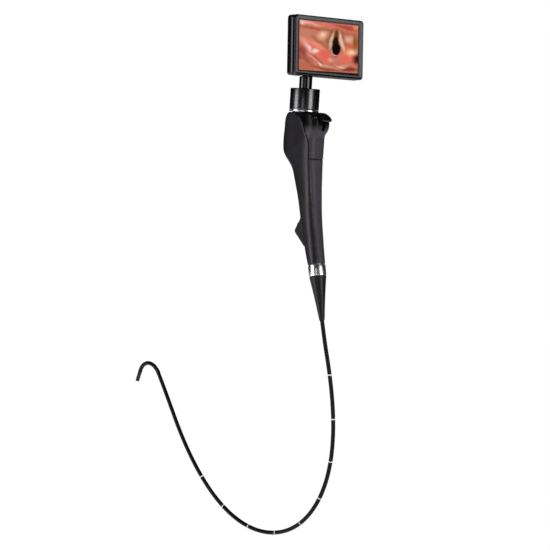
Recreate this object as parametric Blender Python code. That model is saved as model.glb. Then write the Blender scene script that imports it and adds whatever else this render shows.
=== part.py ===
# Flexible video endoscope: tilting monitor, swivel stem, control handle and insertion tube with a bending tip.
# Frame: +Z up, the screen faces -Y, the handle's middle plane is X = 0, the origin is in the grip.

import bpy
import bmesh
from math import atan, atan2, cos, pi, radians, sin, sqrt, tan
from mathutils import Matrix, Vector

mm = 0.001
clearance = 0.3 * mm          # between pieces that touch or slide
fineClearance = 0.12 * mm     # between the small pieces in the distal tip

handleTop = 98.9 * mm         # the head, the controls and the monitor are placed from here

# Monitor
monitorWidth = 102.6 * mm
monitorHeight = 68.2 * mm
monitorDepth = 15.4 * mm
monitorFrontY = 2.1 * mm
monitorLeftX = -24.7 * mm     # from the swivel axis to the housing's left end
monitorBottomZ = handleTop + 40.8 * mm
monitorCorner = 4.0 * mm
monitorEdge = 1.6 * mm
monitorWall = 2.0 * mm
bezelDepth = 5.0 * mm
imageWidth = monitorWidth - 13.6 * mm
imageHeight = monitorHeight - 11.2 * mm
bezelSlope = 1.0 * mm         # depth of the sloped frame round the image
glassThickness = 1.0 * mm
panelThickness = 1.6 * mm
panelBorder = 1.6 * mm
boardThickness = 1.6 * mm
batteryThickness = 3.4 * mm
batteryWidth = 56.0 * mm
batteryHeight = 42.0 * mm
batteryInset = 20.0 * mm      # from the housing's inner end
ledDiameter = 1.4 * mm
powerButtonDiameter = 6.0 * mm
powerButtonSunk = 0.2 * mm    # below the housing's face
powerButtonFlange = 1.2 * mm

# Tilt hinge, on the swivel axis inside the housing's lower edge
hingeRise = 9.3 * mm          # hinge axis above the housing's underside
hingeKnuckleDiameter = 8.8 * mm
hingeKnuckleWidth = 13.0 * mm
hingePocketWidth = 16.4 * mm
hingeBlockWall = 3.6 * mm
tiltPinDiameter = 3.0 * mm

# Stem and collar, on the head axis
headLean = radians(4.0)       # the head axis leans towards the user
headY = 14.4 * mm
headZ = handleTop + 0.4 * mm
trimDiameter = 33.6 * mm
trimHeight = 1.7 * mm
collarDiameter = 33.4 * mm
collarHeight = 24.2 * mm
collarWall = 5.6 * mm
collarRoof = 6.0 * mm
collarChamfer = 0.6 * mm
stemDiameter = 14.7 * mm
stemShoulderDrop = 9.6 * mm   # from the hinge axis down to the stem's top face
stemFlangeThickness = 2.6 * mm
spigotDiameter = 10.0 * mm
washerThickness = 1.2 * mm
nutThickness = 3.6 * mm
neckHeight = 5.6 * mm
neckDiameter = 21.0 * mm

# Handle
coverWall = 1.8 * mm
capWall = 2.0 * mm
capBottom = handleTop - 22.4 * mm
handleBottom = -74.2 * mm
coverTop = handleTop - 0.4 * mm
backSplit = 45.3 * mm         # parting line across the back
chassisTop = 44.0 * mm
cheekThickness = 1.6 * mm
cheekSpread = 10.0 * mm       # outer face of each cheek from the middle plane
serviceWidth = 6.6 * mm       # groove in the chassis for wires and tubes
serviceFloor = -1.5 * mm      # its floor, behind the tail axis
wireGuideDiameter = 1.0 * mm
cableDiameter = 2.0 * mm

# Lever, in the cap
leverY = 2.0 * mm
leverZ = handleTop - 13.9 * mm
drumRadius = 20.3 * mm        # the cap's round back, about the lever's pivot
leverOffset = 2.0 * mm        # middle of the lever from the middle plane
leverWeb = 3.0 * mm
leverPadWidth = 12.0 * mm
leverHubDiameter = 7.0 * mm
leverShaftDiameter = 3.0 * mm
leverReach = 27.4 * mm
leverTravel = radians(45)
slotFrom = radians(146)
slotTo = radians(205)
wireDrumDiameter = 17.0 * mm
wireDrumWidth = 4.2 * mm
wireDrumX = -2.9 * mm

# Record button beside the lever
buttonAngle = radians(158)
buttonX = -7.6 * mm
buttonDiameter = 5.4 * mm
buttonProud = 1.3 * mm
buttonFlange = 0.9 * mm

# Channel port on the front
portWidth = 12.4 * mm
portFace = (17.0 * mm, -28.7 * mm)
portTurn = radians(37.8)      # the port's axis above the horizontal
portBore = 5.0 * mm
portDepth = 6.5 * mm
portFlangeDiameter = 7.2 * mm
portRim = 0.9 * mm
luerBore = 2.4 * mm

# Ferrule and boot, on the tail axis
tailLean = radians(9.93)
tailY = -12.65 * mm
ferruleDiameter = 19.7 * mm
ferruleLength = 12.3 * mm
ferruleWall = 2.4 * mm
bootLength = 49.4 * mm
bootTip = 6.2 * mm
bootBore = 5.4 * mm
spigotLength = 9.0 * mm

# Insertion tube and bending section
tubeDiameter = 4.8 * mm
tubeInBoot = 10.0 * mm
linkDiameter = 4.4 * mm
linkWall = 0.6 * mm
linkLength = 7.5 * mm
linkCount = 6                 # hinges from the tube to the distal tip
bendAtRest = radians(120)
bendStart = (6.3 * mm, 291.6 * mm, -205.3 * mm)
bendHeading = radians(63)
loopLean = radians(7.4)       # the loop's plane leans out from the handle
linkRelief = radians(11.6)    # slope of each link's end either side of its hinge
linkGap = 0.3 * mm
sleeveLength = 8.2 * mm
tipLength = 19.5 * mm         # from the last hinge
baseRingLength = 4.0 * mm
lensDiameter = 1.5 * mm
windowDiameter = 0.8 * mm
outletDiameter = 1.4 * mm

# Cross-sections of the handle: height, centre, half width, half depth, squareness, tilt in degrees, seam angle
handleSections = [
    (-74.2, -12.62, 9.85, 9.90, 2.0, 9.93, 147),
    (-62.0, -9.60, 10.0, 11.0, 2.1, 8.0, 147),
    (-46.0, -6.30, 10.3, 11.4, 2.35, 4.0, 148),
    (-20.0, -1.57, 10.7, 12.5, 2.6, 0.0, 148),
    (0.0, 0.93, 11.0, 13.6, 2.9, 0.0, 147),
    (20.0, 3.97, 11.6, 16.1, 3.2, 0.0, 145),
    (33.0, 5.95, 12.2, 17.5, 3.5, 0.0, 147),
    (39.0, 7.60, 12.5, 19.0, 3.7, 0.0, 148),
    (46.0, 10.8, 12.7, 22.2, 4.0, 0.0, 151),
    (51.0, 13.1, 12.9, 24.7, 4.2, -0.5, 154),
    (57.0, 14.1, 13.0, 25.9, 4.4, -1.0, 155),
    (67.0, 13.7, 13.0, 26.4, 4.5, -2.0, 152),
    (72.0, 13.3, 13.0, 26.3, 4.5, -2.4, 147),
    (76.5, 11.6, 13.0, 27.3, 4.5, -2.8, 139),
    (82.0, 10.2, 13.0, 28.0, 4.5, -3.2, 131),
    (86.0, 9.80, 13.0, 28.2, 4.5, -3.5, 125),
    (90.0, 9.55, 13.0, 27.6, 4.5, -3.7, 116),
    (92.5, 9.40, 13.0, 26.9, 4.5, -3.8, 105),
    (94.5, 9.20, 13.0, 26.0, 4.5, -3.9, 90),
    (97.0, 8.80, 12.9, 24.4, 4.4, -4.0, 60),
    (98.9, 8.50, 12.2, 21.7, 4.2, -4.0, 38),
]
headRise = handleTop / mm - handleSections[-1][0]
handleRows = [(row[0] + (headRise if row[0] > 60 else 0), *row[1:]) for row in handleSections]

# Route of the insertion tube from the boot to the bending section, in millimetres
tubeRoute = [
    (0.0, -22.9, -138.5),
    (1.6, -27.9, -163.7),
    (4.5, -31.3, -189.7),
    (7.6, -33.1, -215.8),
    (10.9, -32.6, -242.0),
    (14.2, -29.3, -267.9),
    (17.4, -22.6, -293.2),
    (20.5, -11.9, -317.1),
    (23.3, 2.8, -338.8),
    (25.7, 21.4, -357.4),
    (27.6, 43.2, -372.0),
    (28.9, 67.6, -381.9),
    (29.5, 93.5, -386.7),
    (29.4, 119.8, -386.4),
    (28.7, 145.6, -381.0),
    (27.4, 169.9, -370.9),
    (25.6, 192.1, -356.8),
    (23.4, 211.8, -339.4),
    (20.8, 229.0, -319.6),
    (18.1, 244.1, -298.2),
    (15.2, 257.2, -275.5),
    (12.2, 268.7, -251.9),
    (9.2, 280.0, -228.3),
]


# Helpers

def clearScene():
    for found in list(bpy.data.objects):
        bpy.data.objects.remove(found, do_unlink=True)


def finish(name, colour, roughness, metallic=0.0):
    made = bpy.data.materials.new(name)
    made.use_nodes = True
    shader = made.node_tree.nodes["Principled BSDF"]
    shader.inputs["Base Color"].default_value = (*colour, 1.0)
    shader.inputs["Roughness"].default_value = roughness
    shader.inputs["Metallic"].default_value = metallic
    made.diffuse_color = (*colour, 1.0)
    return made


def addObject(name, bm, material, frame=None, sharp=35):
    bmesh.ops.remove_doubles(bm, verts=bm.verts, dist=1e-6)
    bmesh.ops.recalc_face_normals(bm, faces=bm.faces)
    mesh = bpy.data.meshes.new(name)
    bm.to_mesh(mesh)
    bm.free()
    mesh.shade_smooth()
    mesh.set_sharp_from_angle(angle=radians(sharp))
    made = bpy.data.objects.new(name, mesh)
    bpy.context.scene.collection.objects.link(made)
    made.parent = frame
    if material:
        mesh.materials.append(material)
    return made


def addFrame(name, place, turn=(0, 0, 0), parent=None):
    made = bpy.data.objects.new(name, None)
    bpy.context.scene.collection.objects.link(made)
    made.parent = parent
    made.location = place
    made.rotation_euler = turn
    return made


def combine(target, other, operation):
    """Boolean with a guide object, which stays out of the model."""
    step = target.modifiers.new(operation.title(), "BOOLEAN")
    step.operation = operation
    step.solver = "EXACT"
    step.object = other
    other.hide_render = True
    other.display_type = "WIRE"


def cut(target, *cutters):
    for cutter in cutters:
        combine(target, cutter, "DIFFERENCE")


def fuse(target, *others):
    for other in others:
        combine(target, other, "UNION")


def turned(name, profile, material, frame=None, steps=32, along="Z", place=(0, 0, 0)):
    """A profile of (radius, height) points, turned about an axis; a ring if it stays off the axis."""
    bm = bmesh.new()
    verts = [bm.verts.new((r, 0, h)) for r, h in profile]
    pairs = list(zip(verts, verts[1:]))
    onAxis = profile[0][0] == 0 and profile[-1][0] == 0
    if not onAxis:
        pairs.append((verts[-1], verts[0]))
    edges = [bm.edges.new(pair) for pair in pairs]
    bmesh.ops.spin(bm, geom=verts + edges, cent=(0, 0, 0), axis=(0, 0, 1), angle=2 * pi, steps=steps,
                   use_merge=True)
    turn = {"Z": Matrix(), "X": Matrix.Rotation(pi / 2, 4, "Y"), "Y": Matrix.Rotation(-pi / 2, 4, "X")}[along]
    bmesh.ops.transform(bm, matrix=Matrix.Translation(place) @ turn, verts=bm.verts)
    return addObject(name, bm, material, frame)


def rod(name, diameter, low, high, material, frame=None, steps=24, along="Z", place=(0, 0, 0)):
    r = diameter / 2
    return turned(name, [(0, low), (r, low), (r, high), (0, high)], material, frame, steps, along, place)


def ring(name, outer, inner, low, high, material, frame=None, steps=32, along="Z", place=(0, 0, 0)):
    profile = [(inner / 2, low), (outer / 2, low), (outer / 2, high), (inner / 2, high)]
    return turned(name, profile, material, frame, steps, along, place)


def block(name, low, high, material, frame=None):
    bm = bmesh.new()
    size = Vector(high) - Vector(low)
    middle = (Vector(high) + Vector(low)) / 2
    bmesh.ops.create_cube(bm, size=1, matrix=Matrix.Translation(middle) @ Matrix.Diagonal((*size, 1)))
    return addObject(name, bm, material, frame)


def roundedBlock(name, low, high, corner, edge, material, frame=None, edgeAt="", cornerSteps=4, edgeSteps=2):
    """A block rounded round its outline in XZ, and along the outline at its front or its back."""
    bm = bmesh.new()
    size = Vector(high) - Vector(low)
    middle = (Vector(high) + Vector(low)) / 2
    bmesh.ops.create_cube(bm, size=1, matrix=Matrix.Translation(middle) @ Matrix.Diagonal((*size, 1)))
    along = [e for e in bm.edges if abs((e.verts[0].co - e.verts[1].co).normalized().y) > 0.9]
    bmesh.ops.bevel(bm, geom=along, offset=corner, segments=cornerSteps, profile=0.5, affect="EDGES")
    for side, y in (("front", low[1]), ("back", high[1])):
        if side in edgeAt:
            rim = [e for e in bm.edges if all(abs(v.co.y - y) < 1e-7 for v in e.verts)]
            bmesh.ops.bevel(bm, geom=rim, offset=edge, segments=edgeSteps, profile=0.5, affect="EDGES")
    return addObject(name, bm, material, frame)


def extruded(name, outline, low, high, material, frame=None):
    """An outline of (y, z) points, extruded along X."""
    bm = bmesh.new()
    face = bm.faces.new([bm.verts.new((low, y, z)) for y, z in outline])
    grown = bmesh.ops.extrude_face_region(bm, geom=[face])
    moved = [v for v in grown["geom"] if isinstance(v, bmesh.types.BMVert)]
    bmesh.ops.translate(bm, vec=(high - low, 0, 0), verts=moved)
    return addObject(name, bm, material, frame)


def arc(centre, radius, start, end, steps):
    """Points (y, z) along an arc."""
    angles = [start + (end - start) * k / steps for k in range(steps + 1)]
    return [(centre[0] + radius * cos(a), centre[1] + radius * sin(a)) for a in angles]


def smoothCurve(points, count, closeness=12):
    """Evenly spaced points on a smooth curve through the given ones."""
    points = [Vector(p) for p in points]
    times = [0.0]
    for a, b in zip(points, points[1:]):
        times.append(times[-1] + (b - a).length)
    last = len(points) - 1
    slopes = []
    for k in range(last + 1):
        before, after = max(k - 1, 0), min(k + 1, last)
        slopes.append((points[after] - points[before]) / (times[after] - times[before]))
    fine = []
    for k in range(last):
        span = times[k + 1] - times[k]
        for n in range(closeness):
            t = n / closeness
            fine.append((2 * t ** 3 - 3 * t ** 2 + 1) * points[k] + (t ** 3 - 2 * t ** 2 + t) * span * slopes[k]
                        + (3 * t ** 2 - 2 * t ** 3) * points[k + 1] + (t ** 3 - t ** 2) * span * slopes[k + 1])
    fine.append(points[-1])
    run = [0.0]
    for a, b in zip(fine, fine[1:]):
        run.append(run[-1] + (b - a).length)
    even = []
    k = 0
    for n in range(count):
        goal = run[-1] * n / (count - 1)
        while k < len(run) - 2 and run[k + 1] < goal:
            k += 1
        share = (goal - run[k]) / (run[k + 1] - run[k])
        even.append(fine[k].lerp(fine[k + 1], min(1.0, share)))
    return even


def tube(name, points, diameter, material, resolution=2, frame=None):
    """A round cord along the points, with filled ends."""
    curve = bpy.data.curves.new(name, "CURVE")
    curve.dimensions = "3D"
    curve.bevel_depth = diameter / 2
    curve.bevel_resolution = resolution
    curve.use_fill_caps = True
    line = curve.splines.new("POLY")
    line.points.add(len(points) - 1)
    for slot, p in zip(line.points, points):
        slot.co = (*p, 1.0)
    curve.materials.append(material)
    made = bpy.data.objects.new(name, curve)
    bpy.context.scene.collection.objects.link(made)
    made.parent = frame
    return made


# The handle's outer form

def sectionAt(height):
    """The handle's cross-section at a height, read smoothly from handleRows, with lengths in metres."""
    rows = handleRows
    h = min(max(height / mm, rows[0][0]), rows[-1][0])
    k = max(i for i in range(len(rows) - 1) if rows[i][0] <= h)
    a, b = rows[k], rows[k + 1]
    before, after = rows[max(k - 1, 0)], rows[min(k + 2, len(rows) - 1)]
    span = b[0] - a[0]
    t = (h - a[0]) / span
    values = []
    for i in range(1, 7):
        slopeA = (b[i] - before[i]) / (b[0] - before[0]) * span
        slopeB = (after[i] - a[i]) / (after[0] - a[0]) * span
        values.append((2 * t ** 3 - 3 * t ** 2 + 1) * a[i] + (t ** 3 - 2 * t ** 2 + t) * slopeA
                      + (3 * t ** 2 - 2 * t ** 3) * b[i] + (t ** 3 - t ** 2) * slopeB)
    centre, halfWidth, halfDepth, power, tilt, seam = values
    return centre * mm, halfWidth * mm, halfDepth * mm, power, radians(tilt), radians(seam)


def cornerAngle(direction, section):
    """The curve's own angle of the section where it points in a direction, both counted from the front."""
    halfWidth, halfDepth, power = section[1:4]
    if direction > pi:
        return 2 * pi - cornerAngle(2 * pi - direction, section)
    turn = atan2(abs(sin(direction)) * halfDepth, abs(cos(direction)) * halfWidth)
    own = atan(tan(min(turn, pi / 2 - 1e-9)) ** (power / 2))
    return own if direction <= pi / 2 else pi - own


def skinPoint(height, own, inset=0.0):
    """A point of the handle's surface, at the curve's own angle, sunk by inset."""
    centre, halfWidth, halfDepth, power, tilt, seam = sectionAt(height)
    x = (halfWidth - inset) * abs(sin(own)) ** (2 / power) * (-1 if sin(own) > 0 else 1)
    y = (halfDepth - inset) * abs(cos(own)) ** (2 / power) * (1 if cos(own) > 0 else -1)
    return Vector((x, centre + y * cos(tilt), height - y * sin(tilt)))


def heights(low, high, lowStep=9.0 * mm, highStep=4.0 * mm, finest=1.4 * mm):
    """Rows for a skin: coarse in the grip, finer in the housing, finest at the arch under the collar."""
    rows = [low]
    while rows[-1] < high:
        h = rows[-1]
        rows.append(h + (lowStep if h < 24 * mm else highStep if h < 84 * mm else finest))
    rows[-1] = high
    if len(rows) > 2 and rows[-1] - rows[-2] < 0.4 * finest:
        rows.pop(-2)
    return rows


def seamDirection(height, widen=0.0, ahead=0.0):
    """Where the side cover ends at a height, widened by a length along the surface."""
    section = sectionAt(height - ahead)
    here = sectionAt(height)
    seam = max(section[5], here[5])
    reach = sqrt((here[1] * sin(seam)) ** 2 + (here[2] * cos(seam)) ** 2)
    return seam + widen / reach


def gridShell(name, outer, inner, material):
    """A closed wall between two grids of points, stitched along its four edges."""
    bm = bmesh.new()
    front = [[bm.verts.new(p) for p in row] for row in outer]
    back = [[bm.verts.new(p) for p in row] for row in inner]
    for side in (front, back):
        for rowA, rowB in zip(side, side[1:]):
            for k in range(len(rowA) - 1):
                bm.faces.new((rowA[k], rowA[k + 1], rowB[k + 1], rowB[k]))
    for rowA, rowB in ((front[0], back[0]), (front[-1], back[-1])):
        for k in range(len(rowA) - 1):
            bm.faces.new((rowA[k], rowA[k + 1], rowB[k + 1], rowB[k]))
    for end in (0, -1):
        for k in range(len(front) - 1):
            bm.faces.new((front[k][end], front[k + 1][end], back[k + 1][end], back[k][end]))
    return addObject(name, bm, material)


def skinShell(name, low, high, fromSeam, side, wall, material, outside=0.0, widen=None, columns=11, ahead=0.0):
    """A shell of the handle's skin: a side cover from the front to the seam, or the back between the seams."""
    widen = -clearance / 2 if widen is None else widen
    outer, inner = [], []
    for h in heights(low, high):
        section = sectionAt(h)
        if fromSeam:
            first = cornerAngle(seamDirection(h) + clearance / 2 / section[2], section)
            last = 2 * pi - first
        else:
            first = -widen / section[1] * 0.5
            last = cornerAngle(seamDirection(h, widen, ahead), section)
        angles = [first + (last - first) * k / columns for k in range(columns + 1)]
        outer.append([skinPoint(h, a * side, -outside) for a in angles])
        inner.append([skinPoint(h, a * side, wall) for a in angles])
    return gridShell(name, outer, inner, material)


def skinSolid(name, low, high, inset, material, columns=36):
    """A closed solid of the handle's whole section, sunk by inset."""
    bm = bmesh.new()
    rows = []
    for h in heights(low, high):
        angles = [2 * pi * k / columns for k in range(columns)]
        rows.append([bm.verts.new(skinPoint(h, a, inset)) for a in angles])
    for rowA, rowB in zip(rows, rows[1:]):
        for k in range(columns):
            n = (k + 1) % columns
            bm.faces.new((rowA[k], rowA[n], rowB[n], rowB[k]))
    bm.faces.new(rows[0])
    bm.faces.new(rows[-1])
    return addObject(name, bm, material)


# Monitor

def monitorBox():
    low = Vector((monitorLeftX, monitorFrontY, monitorBottomZ))
    return low, low + Vector((monitorWidth, monitorDepth, monitorHeight))


def imageCentre():
    low, high = monitorBox()
    return (low.x + high.x) / 2, (low.z + high.z) / 2


def hingePlace():
    """The tilt hinge: on the swivel axis, at hingeRise above the housing's underside."""
    z = monitorBottomZ + hingeRise
    return Vector((0, headY - (z - headZ) * tan(headLean), z))


def hingeCutter(name, margin=0.0):
    low, high = monitorBox()
    hinge = hingePlace()
    r = hingeKnuckleDiameter / 2 + clearance
    half = hingePocketWidth / 2
    return block(name, (-half, hinge.y - r, low.z - 5 * mm), (half, high.y + 5 * mm, hinge.z + r + 3.6 * mm), None)


def makeBezel(material):
    low, high = monitorBox()
    back = low.y + bezelDepth
    bezel = roundedBlock("monitor_bezel", low, (high.x, back, high.z), monitorCorner, monitorEdge, material,
                         edgeAt="front")
    inside = roundedBlock("bezel_inside", (low.x + monitorWall, low.y + bezelSlope, low.z + monitorWall),
                          (high.x - monitorWall, back + 1 * mm, high.z - monitorWall),
                          monitorCorner - monitorWall, 0, None)
    cx, cz = imageCentre()
    bm = bmesh.new()
    near = [(cx + sx * (imageWidth / 2 + 3.4 * mm), low.y - 0.01 * mm, cz + sz * (imageHeight / 2 + 2.6 * mm))
            for sx, sz in ((-1, -1), (1, -1), (1, 1), (-1, 1))]
    far = [(cx + sx * imageWidth / 2, low.y + bezelSlope + 0.5 * mm, cz + sz * imageHeight / 2)
           for sx, sz in ((-1, -1), (1, -1), (1, 1), (-1, 1))]
    a = [bm.verts.new(p) for p in near]
    b = [bm.verts.new(p) for p in far]
    bm.faces.new(a)
    bm.faces.new(b)
    for k in range(4):
        n = (k + 1) % 4
        bm.faces.new((a[k], a[n], b[n], b[k]))
    window = addObject("bezel_window", bm, None)
    led = rod("led_hole", ledDiameter + 2 * fineClearance, -1 * mm, 3 * mm, None, along="Y", place=ledPlace(), steps=12)
    cut(bezel, inside, window, hingeCutter("bezel_hinge_cut"), led)
    return bezel


def ledPlace():
    low, high = monitorBox()
    return (low.x + 3.1 * mm, low.y, high.z - 6.4 * mm)


def powerPlace():
    low, high = monitorBox()
    return (high.x - 22 * mm, high.y - monitorWall, low.z + 14 * mm)


def makeRearHousing(material):
    low, high = monitorBox()
    front = low.y + bezelDepth + clearance
    rear = roundedBlock("monitor_rear_housing", (low.x, front, low.z), high, monitorCorner, monitorEdge, material,
                        edgeAt="back")
    inside = roundedBlock("rear_inside", (low.x + monitorWall, front - 1 * mm, low.z + monitorWall),
                          (high.x - monitorWall, high.y - monitorWall, high.z - monitorWall),
                          monitorCorner - monitorWall, 0, None)
    half = hingePocketWidth / 2 + hingeBlockWall
    hinge = hingePlace()
    top = hinge.z + hingeKnuckleDiameter / 2 + 3.6 * mm + hingeBlockWall
    hingeBlock = block("hinge_block", (-half, front, low.z + 0.5 * mm), (half, high.y - 0.5 * mm, top), None)
    bore = rod("tilt_pin_bore", tiltPinDiameter + 2 * clearance, -half + 0.9 * mm, half - 0.9 * mm, None, along="X",
               place=hinge, steps=16)
    power = rod("power_hole", powerButtonDiameter + 2 * clearance, -1 * mm, monitorWall + 1 * mm, None, along="Y",
                place=powerPlace())
    cut(rear, inside)
    fuse(rear, hingeBlock)
    cut(rear, hingeCutter("rear_hinge_cut"), bore, power)
    return rear


def makeMonitor(finishes):
    low, high = monitorBox()
    cx, cz = imageCentre()
    makeBezel(finishes["monitor"])
    makeRearHousing(finishes["monitor"])
    glassY = low.y + bezelSlope + clearance
    halfW, halfH = imageWidth / 2 + panelBorder, imageHeight / 2 + panelBorder
    roundedBlock("screen_glass", (cx - halfW, glassY, cz - halfH), (cx + halfW, glassY + glassThickness, cz + halfH),
                 1.0 * mm, 0, finishes["glass"])
    panelY = glassY + glassThickness + clearance / 2
    block("lcd_panel", (cx - halfW, panelY, cz - halfH), (cx + halfW, panelY + panelThickness, cz + halfH),
          finishes["image"])
    pocket = hingePocketWidth / 2 + hingeBlockWall + clearance
    boardY = low.y + bezelDepth + clearance
    inset = monitorWall + 1.2 * mm
    boardLow = Vector((pocket, boardY, low.z + inset))
    boardHigh = Vector((high.x - inset, boardY + boardThickness, high.z - inset))
    block("monitor_board", boardLow, boardHigh, finishes["board"])
    batteryY = high.y - monitorWall - clearance - batteryThickness
    batteryHigh = Vector((high.x - monitorWall - batteryInset, batteryY + batteryThickness,
                          high.z - monitorWall - clearance))
    block("battery", batteryHigh - Vector((batteryWidth, batteryThickness, batteryHeight)), batteryHigh,
          finishes["battery"])
    rod("tilt_pin", tiltPinDiameter, -hingePocketWidth / 2 - 2.4 * mm, hingePocketWidth / 2 + 2.4 * mm,
        finishes["steel"], along="X", place=hingePlace(), steps=16)
    rod("status_led", ledDiameter, 0.05 * mm, bezelSlope + 0.6 * mm, finishes["led"], along="Y", place=ledPlace(),
        steps=12)
    r = powerButtonDiameter / 2
    inner = -powerButtonFlange - clearance
    outer = monitorWall - powerButtonSunk
    profile = [(0, inner), (r + 0.8 * mm, inner), (r + 0.8 * mm, -clearance), (r, -clearance),
               (r, outer - 0.4 * mm), (r - 0.4 * mm, outer), (0, outer)]
    turned("power_button", profile, finishes["rubber"], along="Y", place=powerPlace(), steps=20)


# Stem and collar

def makeHead(finishes, head):
    hinge = hingePlace()
    hingeHeight = (hinge.z - headZ) / cos(headLean)
    stemTop = hingeHeight - stemShoulderDrop
    collarLow = trimHeight + 2 * clearance
    collarTop = collarLow + collarHeight
    cavityTop = collarTop - collarRoof
    trimR, collarR = trimDiameter / 2, collarDiameter / 2
    innerR = collarR - collarWall
    turned("trim_ring", [(neckDiameter / 2 + clearance, clearance), (trimR - 0.3 * mm, clearance),
                         (trimR, clearance + 0.3 * mm), (trimR, clearance + trimHeight - 0.3 * mm),
                         (trimR - 0.3 * mm, clearance + trimHeight), (neckDiameter / 2 + clearance, clearance + trimHeight)],
           finishes["chrome"], head, 48)
    bore = stemDiameter / 2 + clearance
    turned("swivel_collar", [(bore, collarTop), (bore, cavityTop), (innerR, cavityTop), (innerR, collarLow),
                             (collarR - collarChamfer, collarLow), (collarR, collarLow + collarChamfer),
                             (collarR, collarTop - collarChamfer), (collarR - collarChamfer, collarTop)],
           finishes["blackMetal"], head, 48)
    washerTop = cavityTop - clearance
    ring("friction_washer", 2 * (innerR - clearance), stemDiameter + 2 * clearance, washerTop - washerThickness,
         washerTop, finishes["steel"], head)
    flangeTop = washerTop - washerThickness - clearance
    flangeLow = flangeTop - stemFlangeThickness
    nutTop = flangeLow - clearance
    nutLow = nutTop - nutThickness
    spigotR = spigotDiameter / 2
    ring("retaining_nut", 2 * (innerR - clearance), spigotDiameter + 2 * clearance, nutLow, nutTop,
         finishes["steel"], head)
    stemR = stemDiameter / 2
    stem = turned("stem", [(0, nutLow - 0.8 * mm), (spigotR, nutLow - 0.8 * mm), (spigotR, flangeLow),
                           (innerR - clearance, flangeLow), (innerR - clearance, flangeTop), (stemR, flangeTop),
                           (stemR, stemTop - 0.8 * mm), (stemR - 0.8 * mm, stemTop),
                           (hingeKnuckleDiameter / 2, stemTop), (hingeKnuckleDiameter / 2, hingeHeight),
                           (0, hingeHeight)], finishes["blackMetal"], head, 32)
    knuckle = rod("stem_knuckle", hingeKnuckleDiameter, -hingeKnuckleWidth / 2, hingeKnuckleWidth / 2, None, head,
                  along="X", place=(0, 0, hingeHeight))
    bore = rod("stem_pin_bore", tiltPinDiameter + 2 * clearance, -hingePocketWidth, hingePocketWidth, None, head,
               along="X", place=(0, 0, hingeHeight), steps=16)
    fuse(stem, knuckle)
    cut(stem, bore)
    return nutLow - 0.8 * mm


# Handle

def makeCovers(finishes):
    low = handleBottom + clearance / 2
    left = skinShell("handle_left_cover", low, coverTop, False, 1, coverWall, finishes["grip"])
    right = skinShell("handle_right_cover", low, coverTop, False, -1, coverWall, finishes["grip"])
    lower = skinShell("back_lower_cover", low, backSplit - clearance / 2, True, 1, coverWall, finishes["grip"])
    upper = skinShell("back_upper_cover", backSplit + clearance / 2, capBottom - clearance / 2, True, 1, coverWall,
                      finishes["grip"])
    return left, right, lower, upper


def makeCap(finishes, head, stemLow):
    cap = skinSolid("control_cap", capBottom + clearance / 2, handleTop, 0, finishes["gloss"])
    hollow = skinSolid("cap_hollow", capBottom - 2 * mm, handleTop - capWall, capWall, None)
    neck = rod("cap_neck", neckDiameter, -1.2 * mm, neckHeight, None, head, steps=32)
    wireHole = rod("cap_neck_hole", neckDiameter - 4.4 * mm, -14 * mm, neckHeight + 2 * mm, None, head, steps=28)
    cut(cap, hollow)
    for side, name in ((1, "cap_left_cut"), (-1, "cap_right_cut")):
        cutter = skinShell(name, capBottom - 3 * mm, handleTop + 0.4 * mm, False, side, capWall + 0.9 * mm, None,
                           outside=1.5 * mm, widen=clearance, ahead=clearance)
        cut(cap, cutter)
    fuse(cap, neck)
    cut(cap, wireHole)
    place = (leverY, leverZ)
    slotEdge = drumRadius + 4 * mm
    outline = [place, *arc(place, slotEdge, slotFrom, slotTo, 8)]
    half = leverWeb / 2 + clearance
    slot = extruded("lever_slot", outline, leverOffset - half, leverOffset + half, None)
    hole = rod("button_hole", buttonDiameter + 2 * clearance, drumRadius - 6 * mm, drumRadius + 4 * mm, None,
               buttonFrame(), steps=20)
    room = rod("button_room", buttonDiameter + 2 * (buttonFlange + clearance), drumRadius - 9 * mm,
               buttonStop() + clearance, None, buttonFrame(), steps=20)
    cut(cap, slot, room, hole)
    return cap


def buttonFrame():
    """A frame on the cap's round back: its Z points out along the button's travel."""
    return addFrame("button_frame", (buttonX, leverY, leverZ), (buttonAngle - pi / 2, 0, 0))


def buttonStop():
    """Where the button's flange ends, measured from the lever's pivot."""
    return drumRadius - 1.0 * mm - capWall


def makeButton(finishes):
    r = buttonDiameter / 2
    under = buttonStop()
    top = drumRadius - 0.6 * mm + buttonProud
    wide = r + buttonFlange
    profile = [(0, under - buttonFlange), (wide, under - buttonFlange), (wide, under), (r, under),
               (r, top - 1.1 * mm), (0.82 * r, top - 0.5 * mm), (0.45 * r, top - 0.1 * mm), (0, top)]
    frame = buttonFrame()
    turned("record_button", profile, finishes["gloss"], frame, steps=24)
    switchTop = under - buttonFlange - 1.1 * mm
    ring("button_switch", 5.0 * mm, 1.0 * mm, switchTop - 2.0 * mm, switchTop, finishes["board"], frame, steps=12)


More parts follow.
